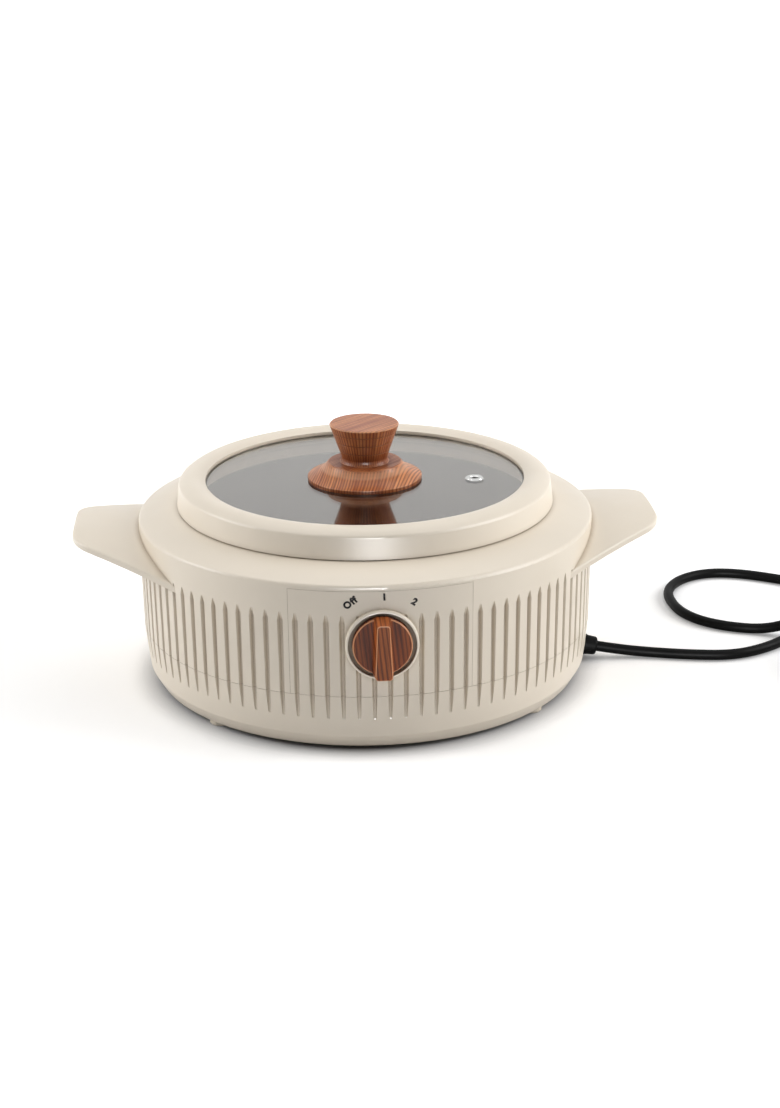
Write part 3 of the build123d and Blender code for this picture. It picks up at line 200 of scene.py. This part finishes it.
def addNode(tree, kind, feeds=None, **settings):  # feeds: each input's name or number and what goes in
    node = tree.nodes.new(kind)
    for key, value in settings.items():
        setattr(node, key, value)
    for key, value in (feeds or {}).items():
        feed(tree, node.inputs[key], value)
    return node


def calculate(tree, operation, *values, **settings):
    feeds = dict(enumerate(values))
    return addNode(tree, "ShaderNodeMath", feeds, operation=operation, **settings).outputs[0]


def blend(tree, share, first, second, kind="RGBA"):
    feeds = {"Factor": share, "A": first, "B": second}
    return addNode(tree, "ShaderNodeMix", feeds, data_type=kind).outputs["Result"]


def noiseAt(tree, place, scale, detail, roughness=0.5, warp=0.0):  # noise on a place, scale per metre
    feeds = {"Vector": place, "Scale": scale, "Detail": detail, "Roughness": roughness, "Distortion": warp}
    return addNode(tree, "ShaderNodeTexNoise", feeds).outputs["Fac"]


def spread(tree, value, low, high, fromLow=0.3, fromHigh=0.7):  # stretches a value to a range
    feeds = {"Value": value, "From Min": fromLow, "From Max": fromHigh, "To Min": low, "To Max": high}
    return addNode(tree, "ShaderNodeMapRange", feeds).outputs["Result"]


# shared effects of the finishes: each gives a colour, a roughness and a normal
skinEffect = {
    "cloudSize": 22.0,
    "cloudDetail": 4.0,
    "rubSize": 60.0,
    "rubDetail": 5.0,
    "rubRange": (-0.05, 0.06),
    "grainDetail": 2.0,
    "bumpStrength": 0.6,
}
woodEffect = {
    "stretch": (0.05, 1.0, 0.07),  # fibres run 20 times as far as they are wide
    "bandDetail": 3.0,
    "bandWarp": 0.6,
    "bandEdges": (0.34, 0.62),
    "fibreSize": 700.0,
    "fibreDetail": 4.0,
    "fibreRoughness": 0.6,
    "fibreDepth": 0.55,
    "fibreEdges": (0.32, 0.56),
    "poreSize": 1900.0,
    "poreDetail": 2.0,
    "stripeWarp": 1.6,
    "stripeDetail": 3.0,
    "stripeDetailSize": 0.9,
    "stripeEdges": (0.1, 0.6),
    "rubRange": (0.08, -0.04),
    "bumpStrength": 0.35,
    "bumpDepth": 0.00006,
}
metalEffect = {
    "stretch": (0.05, 1.0, 1.0),
    "lineDetail": 3.0,
    "smearSize": 45.0,
    "smearDetail": 5.0,
    "smearRoughness": 0.6,
    "rubRange": (-0.06, 0.12),
    "bumpStrength": 0.25,
    "bumpDepth": 0.00003,
}


def newGroup(name, colours, numbers, places=()):  # the inputs with what each holds until it is set
    group = bpy.data.node_groups.new(name, "ShaderNodeTree")
    for kind, entries in (("Vector", places), ("Color", colours), ("Float", numbers)):
        for label, value in entries:
            socket = group.interface.new_socket(label, in_out="INPUT", socket_type="NodeSocket" + kind)
            socket.default_value = value
    for label, kind in (("Colour", "Color"), ("Roughness", "Float"), ("Normal", "Vector")):
        group.interface.new_socket(label, in_out="OUTPUT", socket_type="NodeSocket" + kind)
    return group, group.nodes.new("NodeGroupInput").outputs, group.nodes.new("NodeGroupOutput").inputs


def closeGroup(group, given, results, colour, rub, height, strength, depth):
    bump = addNode(group, "ShaderNodeBump", {"Strength": strength, "Distance": depth, "Height": height})
    feed(group, results["Colour"], colour)
    feed(group, results["Roughness"], calculate(group, "ADD", given["Gloss"], rub, use_clamp=True))
    feed(group, results["Normal"], bump.outputs["Normal"])
    return group


def dimmed(group, colour, share):  # the colour, darker where the share is high
    bright = calculate(group, "SUBTRACT", 1.0, share)
    return addNode(group, "ShaderNodeVectorMath", {0: colour, "Scale": bright}, operation="SCALE").outputs[0]


def mouldedSkin(effect):  # fine grain, clouded tone and uneven gloss of a moulding
    group, given, results = newGroup(
        "mouldedSkin", [("Colour", (0.8, 0.8, 0.8, 1))],
        [("Cloud", 0.04), ("Gloss", 0.35), ("Grain size", 900.0), ("Grain depth", 0.00002)])
    place = addNode(group, "ShaderNodeTexCoord").outputs["Object"]
    cloud = spread(group, noiseAt(group, place, effect["cloudSize"], effect["cloudDetail"]), 0.0, 1.0)
    colour = dimmed(group, given["Colour"], calculate(group, "MULTIPLY", cloud, given["Cloud"]))
    rub = spread(group, noiseAt(group, place, effect["rubSize"], effect["rubDetail"]), *effect["rubRange"])
    grain = noiseAt(group, place, given["Grain size"], effect["grainDetail"])
    return closeGroup(group, given, results, colour, rub, grain, effect["bumpStrength"], given["Grain depth"])


def woodFigure(effect):  # long fibres along X, dark pores, fine stripes and slow bands of tone
    group, given, results = newGroup(
        "woodFigure",
        [("Pale", (0.5, 0.25, 0.1, 1)), ("Middle", (0.3, 0.12, 0.05, 1)), ("Dark", (0.1, 0.03, 0.01, 1))],
        [("Band size", 90.0), ("Stripe size", 150.0), ("Stripe depth", 0.5), ("Gloss", 0.3)],
        [("Place", (0, 0, 0))])
    feeds = {"Vector": given["Place"], "Scale": effect["stretch"]}
    place = addNode(group, "ShaderNodeMapping", feeds).outputs[0]
    band = noiseAt(group, place, given["Band size"], effect["bandDetail"], warp=effect["bandWarp"])
    fibre = noiseAt(group, place, effect["fibreSize"], effect["fibreDetail"], effect["fibreRoughness"])
    pore = noiseAt(group, place, effect["poreSize"], effect["poreDetail"])
    feeds = {"Vector": place, "Scale": given["Stripe size"], "Distortion": effect["stripeWarp"],
             "Detail": effect["stripeDetail"], "Detail Scale": effect["stripeDetailSize"]}
    stripe = addNode(group, "ShaderNodeTexWave", feeds, wave_type="BANDS", bands_direction="Y").outputs["Fac"]
    line = spread(group, stripe, 1.0, 0.0, *effect["stripeEdges"])
    tone = blend(group, spread(group, band, 0.0, 1.0, *effect["bandEdges"]), given["Middle"], given["Pale"])
    streak = spread(group, fibre, effect["fibreDepth"], 0.0, *effect["fibreEdges"])
    streaked = blend(group, streak, tone, given["Dark"])
    lined = blend(group, calculate(group, "MULTIPLY", line, given["Stripe depth"]), streaked, given["Dark"])
    rub = spread(group, fibre, *effect["rubRange"])
    return closeGroup(group, given, results, lined, rub, pore, effect["bumpStrength"], effect["bumpDepth"])


def drawnMetal(effect):  # fine lines along X, smears and small pits of drawn or pressed metal
    group, given, results = newGroup(
        "drawnMetal", [("Colour", (0.6, 0.6, 0.6, 1))],
        [("Gloss", 0.3), ("Line size", 500.0), ("Stain", 0.15)])
    place = addNode(group, "ShaderNodeTexCoord").outputs["Object"]
    along = addNode(group, "ShaderNodeMapping", {"Vector": place, "Scale": effect["stretch"]}).outputs[0]
    line = noiseAt(group, along, given["Line size"], effect["lineDetail"])
    smear = noiseAt(group, place, effect["smearSize"], effect["smearDetail"], effect["smearRoughness"])
    stain = calculate(group, "MULTIPLY", spread(group, smear, 0.0, 1.0), given["Stain"])
    colour = dimmed(group, given["Colour"], stain)
    rub = spread(group, line, *effect["rubRange"])
    return closeGroup(group, given, results, colour, rub, line, effect["bumpStrength"], effect["bumpDepth"])


skinGroup = mouldedSkin(skinEffect)
woodGroup = woodFigure(woodEffect)
metalGroup = drawnMetal(metalEffect)
print("shared effects built")


# finishes
def startMaterial(name):
    material = bpy.data.materials.new(name)
    material.use_nodes = True
    return material, material.node_tree, material.node_tree.nodes["Principled BSDF"]


def placeGroup(tree, shader, group, feeds):
    node = addNode(tree, "ShaderNodeGroup", feeds, node_tree=group)
    for result, socket in (("Colour", "Base Color"), ("Roughness", "Roughness"), ("Normal", "Normal")):
        tree.links.new(node.outputs[result], shader.inputs[socket])


def paintCreviceShade(tree, shader, creviceShade):  # painted shade in grooves and joints, where other surfaces stand near, with no gloss there
    reach = {"Distance": creviceShade["reach"]}
    nearby = addNode(tree, "ShaderNodeAmbientOcclusion", reach, samples=creviceShade["samples"]).outputs["AO"]
    edges = (creviceShade["low"], creviceShade["high"])
    skin = shader.inputs["Base Color"]
    unshaded = skin.links[0].from_socket if skin.is_linked else skin.default_value
    # painted shade: the colour turns to the shade colour where ambient occlusion finds surfaces near
    shadeShare = spread(tree, nearby, 1.0, 0.0, *edges)
    tree.links.new(blend(tree, shadeShare, unshaded, creviceShade["colour"]), skin)
    # painted shade on the reflections too: the gloss fades where surfaces are near
    sheen = shader.inputs["Specular IOR Level"]
    tree.links.new(spread(tree, nearby, 0.0, sheen.default_value, *edges), sheen)


def mouldedPlastic(name, look):
    material, tree, shader = startMaterial(name)
    placeGroup(tree, shader, skinGroup, {
        "Colour": look["colour"], "Cloud": look["cloud"], "Gloss": look["gloss"],
        "Grain size": look["grainSize"], "Grain depth": look["grainDepth"]})
    shader.inputs["Specular IOR Level"].default_value = look["sheen"]
    # painted shade in grooves and joints, where the look asks for it
    if "creviceShade" in look:
        paintCreviceShade(tree, shader, look["creviceShade"])
    return material


def metalFinish(name, look):
    material, tree, shader = startMaterial(name)
    placeGroup(tree, shader, metalGroup, {
        "Colour": look["colour"], "Gloss": look["gloss"],
        "Line size": look["lineSize"], "Stain": look["stain"]})
    shader.inputs["Metallic"].default_value = 1.0
    return material


def bevelHighlightShare(tree, place, bevel):  # share of painted highlight: above 0 on the narrow faces round a piece's front or top, by the way they face
    facing = addNode(tree, "ShaderNodeSeparateXYZ", {0: place.outputs["Normal"]}).outputs[bevel["axis"]]
    level = calculate(tree, "ABSOLUTE", facing)
    rise = spread(tree, level, 0.0, 1.0, bevel["low"], bevel["low"] + bevel["soft"])
    fall = spread(tree, level, 1.0, 0.0, bevel["high"] - bevel["soft"], bevel["high"])
    return calculate(tree, "MULTIPLY", calculate(tree, "MULTIPLY", rise, fall), bevel["share"])


def turnedPlace(tree, place, neck):  # the print lies at one angle below the neck and at another above it
    split = addNode(tree, "ShaderNodeSeparateXYZ", {0: place.outputs["Object"]}).outputs
    turns = (math.radians(neck["lowTurn"]), math.radians(neck["highTurn"]))
    angle = spread(tree, split["Z"], *turns, neck["height"] - neck["blend"], neck["height"])
    feeds = {"Vector": place.outputs["Object"], "Angle": angle}
    flat = addNode(tree, "ShaderNodeVectorRotate", feeds, rotation_type="Z_AXIS").outputs["Vector"]
    return wrapNeck(tree, place, split, flat, neck)


def wrapNeck(tree, place, split, flat, neck):  # round the steep neck the fibres run upwards
    front = calculate(tree, "MULTIPLY", split["Y"], -1.0)  # so the seam of the print lies at the rear
    around = calculate(tree, "MULTIPLY", calculate(tree, "ARCTAN2", split["X"], front), neck["radius"])
    wrapped = addNode(tree, "ShaderNodeCombineXYZ", {"X": split["Z"], "Y": around}).outputs["Vector"]
    facing = addNode(tree, "ShaderNodeSeparateXYZ", {0: place.outputs["Normal"]}).outputs["Z"]
    steep = calculate(tree, "LESS_THAN", facing, neck["steepLimit"])
    above = calculate(tree, "GREATER_THAN", split["Z"], neck["height"])
    return blend(tree, calculate(tree, "MULTIPLY", steep, above), flat, wrapped, "VECTOR")


def lacqueredWood(name, look):
    material, tree, shader = startMaterial(name)
    place = addNode(tree, "ShaderNodeTexCoord")
    start = turnedPlace(tree, place, look["neck"]) if "neck" in look else place.outputs["Object"]
    turn = [math.radians(part) for part in look["turn"]]
    feeds = {"Vector": start, "Location": look["centre"], "Rotation": turn}
    placeGroup(tree, shader, woodGroup, {
        "Place": addNode(tree, "ShaderNodeMapping", feeds, vector_type="POINT").outputs["Vector"],
        "Pale": look["pale"], "Middle": look["middle"], "Dark": look["dark"], "Band size": look["bandSize"],
        "Stripe size": look["stripeSize"], "Stripe depth": look["stripeDepth"], "Gloss": look["gloss"]})
    skin = shader.inputs["Base Color"]
    # painted highlight: the bevels turn to a paler colour
    highlightShare = bevelHighlightShare(tree, place, look["bevel"])
    tree.links.new(blend(tree, highlightShare, skin.links[0].from_socket, look["bevel"]["colour"]), skin)
    shader.inputs["Specular IOR Level"].default_value = look["sheen"]
    # painted shade in hollows and joints, where the look asks for it
    if "creviceShade" in look:
        paintCreviceShade(tree, shader, look["creviceShade"])
    shader.inputs["Coat Weight"].default_value = look["coat"]
    shader.inputs["Coat Roughness"].default_value = look["coatRoughness"]
    return material


def clearGlass(name, look):
    material, tree, shader = startMaterial(name)
    place = addNode(tree, "ShaderNodeTexCoord").outputs["Object"]
    smear = noiseAt(tree, place, look["smearSize"], look["smearDetail"])
    rough = spread(tree, smear, look["gloss"], look["gloss"] + look["smearDepth"])
    tree.links.new(rough, shader.inputs["Roughness"])
    shader.inputs["Base Color"].default_value = look["colour"]
    shader.inputs["Transmission Weight"].default_value = 1.0
    shader.inputs["IOR"].default_value = look["bend"]
    shader.inputs["Specular Tint"].default_value = look["shine"]
    return material


creamLook = {
    "colour": tint(234, 223, 206), "cloud": 0.03, "gloss": 0.34, "grainSize": 1400.0,
    "grainDepth": 0.000015, "sheen": 0.5,
    # painted shade in the casing's grooves, seams and joints, in a darker cream
    "creviceShade": {"reach": 0.004, "low": 0.35, "high": 0.95, "colour": tint(186, 172, 154), "samples": 8},
}
dialLook = {
    "centre": (0.0, 0.0, -0.071), "turn": (90.0, 0.0, 96.0),
    "pale": tint(172, 92, 42), "middle": tint(122, 56, 20), "dark": tint(50, 16, 3),
    "bandSize": 130.0, "stripeSize": 120.0, "stripeDepth": 0.6,
    "gloss": 0.4, "sheen": 0.16, "coat": 0.03, "coatRoughness": 0.12,
    # painted highlight on the bevels round the dial's front, in a paler wood colour
    "bevel": {"axis": "Y", "low": 0.4, "high": 0.95, "soft": 0.05, "share": 0.85,
              "colour": tint(214, 152, 112)},
}
knobLook = {
    "centre": (0.0, 0.0, 0.0), "turn": (0.0, 0.0, 0.0),
    "pale": tint(214, 138, 84), "middle": tint(172, 94, 50), "dark": tint(86, 34, 12),
    "bandSize": 110.0, "stripeSize": 165.0, "stripeDepth": 0.6,
    "gloss": 0.34, "sheen": 0.3, "coat": 0.1, "coatRoughness": 0.12,
    # painted highlight on the knob's sloped bevels, in a paler wood colour
    "bevel": {"axis": "Z", "low": 0.62, "high": 0.8, "soft": 0.05, "share": 0.35,
              "colour": tint(226, 176, 138)},
    "neck": {"lowTurn": -72.0, "highTurn": -45.0, "height": 0.1382, "blend": 0.001, "radius": 0.018,
             "steepLimit": 0.6},
    # painted shade in the knob's hollows and where it meets the lid, in a dark brown
    "creviceShade": {"reach": 0.016, "low": 0.3, "high": 0.95, "colour": tint(96, 42, 18), "samples": 8},
}
glassLook = {
    "colour": tint(244, 240, 234), "shine": tint(255, 250, 244), "bend": 1.65,
    "gloss": 0.01, "smearSize": 30.0, "smearDetail": 4.0, "smearDepth": 0.03,
}
plasticColumns = ("colour", "cloud", "gloss", "grainSize", "grainDepth", "sheen")
plastics = {  # slot: name, then the columns above
    "foot_rubber": ("footRubber", tint(216, 205, 186), 0.1, 0.7, 1200.0, 0.00005, 0.5),
    "silicone": ("siliconeSeal", tint(205, 200, 190), 0.08, 0.5, 700.0, 0.00002, 0.5),
    "switch_housing": ("switchHousing", tint(92, 58, 40), 0.12, 0.45, 900.0, 0.00003, 0.5),
    "pan_coating": ("panCoating", tint(64, 58, 52), 0.15, 0.36, 1600.0, 0.000015, 0.5),
    "thermostat_ceramic": ("thermostatCeramic", tint(226, 222, 212), 0.08, 0.4, 900.0, 0.00003, 0.5),
    "block_plastic": ("blockPlastic", tint(222, 218, 206), 0.06, 0.4, 900.0, 0.00003, 0.5),
    "wire_sleeve": ("wireSleeve", tint(214, 208, 190), 0.1, 0.5, 2600.0, 0.0001, 0.5),
    "cord_rubber": ("cordRubber", tint(8, 8, 8), 0.2, 0.45, 1500.0, 0.00001, 0.07),
    "tie_plastic": ("tiePlastic", tint(30, 30, 30), 0.15, 0.4, 900.0, 0.00003, 0.2),
    "plug_rubber": ("plugRubber", tint(12, 12, 12), 0.2, 0.45, 1300.0, 0.00002, 0.14),
}
metalColumns = ("colour", "gloss", "lineSize", "stain")
metals = {  # slot: name, then the columns above
    "switch_metal": ("switchMetal", tint(178, 178, 174), 0.3, 600.0, 0.1),
    "cast_plate": ("castPlate", tint(150, 150, 148), 0.5, 300.0, 0.35),
    "element_sheath": ("elementSheath", tint(120, 112, 104), 0.42, 400.0, 0.45),
    "shield_metal": ("shieldMetal", tint(196, 198, 198), 0.24, 500.0, 0.15),
    "screw_steel": ("screwSteel", tint(170, 170, 166), 0.32, 800.0, 0.15),
    "fuse_metal": ("fuseMetal", tint(196, 190, 180), 0.26, 700.0, 0.1),
    "eyelet_metal": ("eyeletMetal", tint(206, 206, 204), 0.18, 700.0, 0.08),
    "insert_brass": ("insertBrass", tint(204, 168, 98), 0.28, 700.0, 0.12),
    "blade_brass": ("bladeBrass", tint(208, 178, 112), 0.24, 900.0, 0.1),
}
finishes = {
    "casing_plastic": mouldedPlastic("creamMoulding", creamLook),
    "dial_wood_plastic": lacqueredWood("dialWood", dialLook),
    "knob_wood_plastic": lacqueredWood("knobWood", knobLook),
    "lid_glass": clearGlass("lidGlass", glassLook),
}
for slot, (name, *values) in plastics.items():
    finishes[slot] = mouldedPlastic(name, dict(zip(plasticColumns, values)))
for slot, (name, *values) in metals.items():
    finishes[slot] = metalFinish(name, dict(zip(metalColumns, values)))


def dressNodes():  # each solid gets the finish of its slot in the record
    for entry in frame["record"]["subparts"]:
        piece = nodes[entry["node"]]
        if not piece.material_slots:
            piece.data.materials.append(None)
        for place in piece.material_slots:
            place.material = finishes[entry["material_slot"]]


dressNodes()
mainsLead.data.materials.append(finishes["cord_rubber"])
print("finishes set")

# markings round the dial, printed on the panel, in metres and degrees
markings = {
    "signs": [  # name, words, place across, height, tilt
        ("markOff", "Off", -0.01815, 0.0966, 39.0),
        ("markOne", "1", 0.00152, 0.1, 2.0),
        ("markTwo", "2", 0.0189, 0.096, -36.0),
    ],
    "size": 0.0056,
    "boldness": 0.0003,
    "letterSpace": 1.18,
    "front": -0.16,
    "reach": 0.05,
    "inkDepth": 0.00008,
    "mergeDistance": 0.000001,
    "ink": {"colour": tint(8, 7, 7), "cloud": 0.05, "gloss": 0.5, "grainSize": 1400.0,
            "grainDepth": 0.00001, "sheen": 0.2},
}


def writeSign(name, words):
    clearSelection()
    bpy.ops.object.text_add(location=(0, 0, 0))
    sign = bpy.context.object
    sign.name = name
    sign.data.body = words
    sign.data.size = markings["size"]
    sign.data.offset = markings["boldness"]
    sign.data.space_character = markings["letterSpace"]
    sign.data.align_x = "CENTER"
    sign.data.align_y = "CENTER"
    bpy.ops.object.convert(target="MESH")
    return bpy.context.object


def printSign(name, words, across, height, tilt, ink):
    sign = writeSign(name, words)
    sign.rotation_euler = (math.radians(90), math.radians(-tilt), 0)
    sign.location = (across, markings["front"], height)
    bpy.ops.object.transform_apply(location=True, rotation=True, scale=True)
    wrap = sign.modifiers.new("ontoPanel", "SHRINKWRAP")
    wrap.target = nodes["control_panel"]
    wrap.wrap_method = "PROJECT"
    wrap.use_project_y = True
    wrap.use_negative_direction = False
    wrap.use_positive_direction = True
    wrap.project_limit = markings["reach"]
    bpy.ops.object.modifier_apply(modifier=wrap.name)
    thicken = sign.modifiers.new("inkLayer", "SOLIDIFY")
    thicken.thickness = markings["inkDepth"]
    thicken.offset = 1.0
    bpy.ops.object.modifier_apply(modifier=thicken.name)
    bpy.ops.object.mode_set(mode="EDIT")
    bpy.ops.mesh.select_all(action="SELECT")
    bpy.ops.mesh.remove_doubles(threshold=markings["mergeDistance"])
    bpy.ops.mesh.normals_make_consistent(inside=False)
    bpy.ops.object.mode_set(mode="OBJECT")
    sign.data.materials.clear()
    sign.data.materials.append(ink)
    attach(sign, "cooker")


signInk = mouldedPlastic("signInk", markings["ink"])
for entry in markings["signs"]:
    printSign(*entry, signInk)
print("markings printed")

# floor, backdrop and lamps, in metres and watts
studio = {
    "floorColour": tint(250, 250, 250),
    "floorSize": 30.0,
    "floorCentre": (0.0, 2.0, 0.0),
    "floorRoughness": 0.9,
    # painted contact shadow: the floor turns to this grey where the object or lead stands near
    "contactShadow": {"reach": 0.017, "low": 0.2, "high": 0.92, "colour": tint(168, 168, 170), "samples": 8},
    "footGlow": 0.26,
    "footReach": (0.134, 0.158),
    "farGlow": 0.76,
    "farReach": (0.42, 0.95),
    "skyGlow": 0.10,
    "white": (1.0, 1.0, 1.0, 1.0),
    "lampAim": (0.0, 0.0, 0.06),
    "lamps": [  # name, place, size, power
        ("leftPanel", (-1.7, 0.2, 1.0), (1.2, 1.2), 24.0),
        ("rightPanel", (1.7, -0.2, 1.0), (1.2, 1.2), 29.0),
        ("topPanel", (0.0, 0.35, 1.7), (1.7, 1.3), 10.0),
    ],
    "shineLamp": ("frontShine", (0.05, -1.6, 0.32), (0.6, 0.5), 38.0),
}


def seenDirectly(tree):  # 1 for rays from the camera, a reflection or a glass, 0 for light on the object
    path = addNode(tree, "ShaderNodeLightPath").outputs
    seen = calculate(tree, "MAXIMUM", path["Is Camera Ray"], path["Is Glossy Ray"])
    return calculate(tree, "MAXIMUM", seen, path["Is Transmission Ray"])


def paintFloor(studio):
    material, tree, shader = startMaterial("paleFloor")
    shader.inputs["Base Color"].default_value = studio["floorColour"]
    shader.inputs["Roughness"].default_value = studio["floorRoughness"]
    shader.inputs["Specular IOR Level"].default_value = 0.0
    # painted contact shadow round the object's foot and under the lead
    paintCreviceShade(tree, shader, studio["contactShadow"])
    shader.inputs["Emission Color"].default_value = studio["white"]
    place = addNode(tree, "ShaderNodeTexCoord").outputs["Object"]
    away = addNode(tree, "ShaderNodeVectorMath", {0: place}, operation="LENGTH").outputs["Value"]
    near = spread(tree, away, 0.0, studio["footGlow"], *studio["footReach"])
    far = spread(tree, away, 0.0, studio["farGlow"], *studio["farReach"])
    glow = calculate(tree, "MULTIPLY", seenDirectly(tree), calculate(tree, "ADD", near, far))
    tree.links.new(glow, shader.inputs["Emission Strength"])
    return material


def makeFloor(studio):
    clearSelection()
    bpy.ops.mesh.primitive_plane_add(size=1, location=studio["floorCentre"])
    floor = bpy.context.object
    floor.name = "studioFloor"
    floor.scale = (studio["floorSize"], studio["floorSize"], 1)
    bpy.ops.object.transform_apply(location=True, rotation=False, scale=True)
    floor.data.materials.append(paintFloor(studio))


def makeSky(studio):
    world = bpy.data.worlds.new("studioSky")
    bpy.context.scene.world = world
    world.use_nodes = True
    sky = world.node_tree
    ground = sky.nodes["Background"]
    ground.inputs["Color"].default_value = studio["white"]
    level = spread(sky, seenDirectly(sky), studio["skyGlow"], 1.0, 0.0, 1.0)
    sky.links.new(level, ground.inputs["Strength"])


def hangLamp(name, spot, size, power):
    bpy.ops.object.light_add(type="AREA", location=spot)
    lamp = bpy.context.object
    lamp.name = name
    lamp.data.shape = "RECTANGLE"
    lamp.data.size, lamp.data.size_y = size
    lamp.data.energy = power
    lamp.rotation_euler = (Vector(studio["lampAim"]) - Vector(spot)).to_track_quat("-Z", "Y").to_euler()
    return lamp


def hangLamps(studio):
    for entry in studio["lamps"]:
        hangLamp(*entry)
    shine = hangLamp(*studio["shineLamp"])
    shine.visible_diffuse = False  # only its reflection shows, on the lid's ring


makeFloor(studio)
makeSky(studio)
hangLamps(studio)
bpy.context.scene.view_settings.view_transform = "Standard"
print("studio lit")
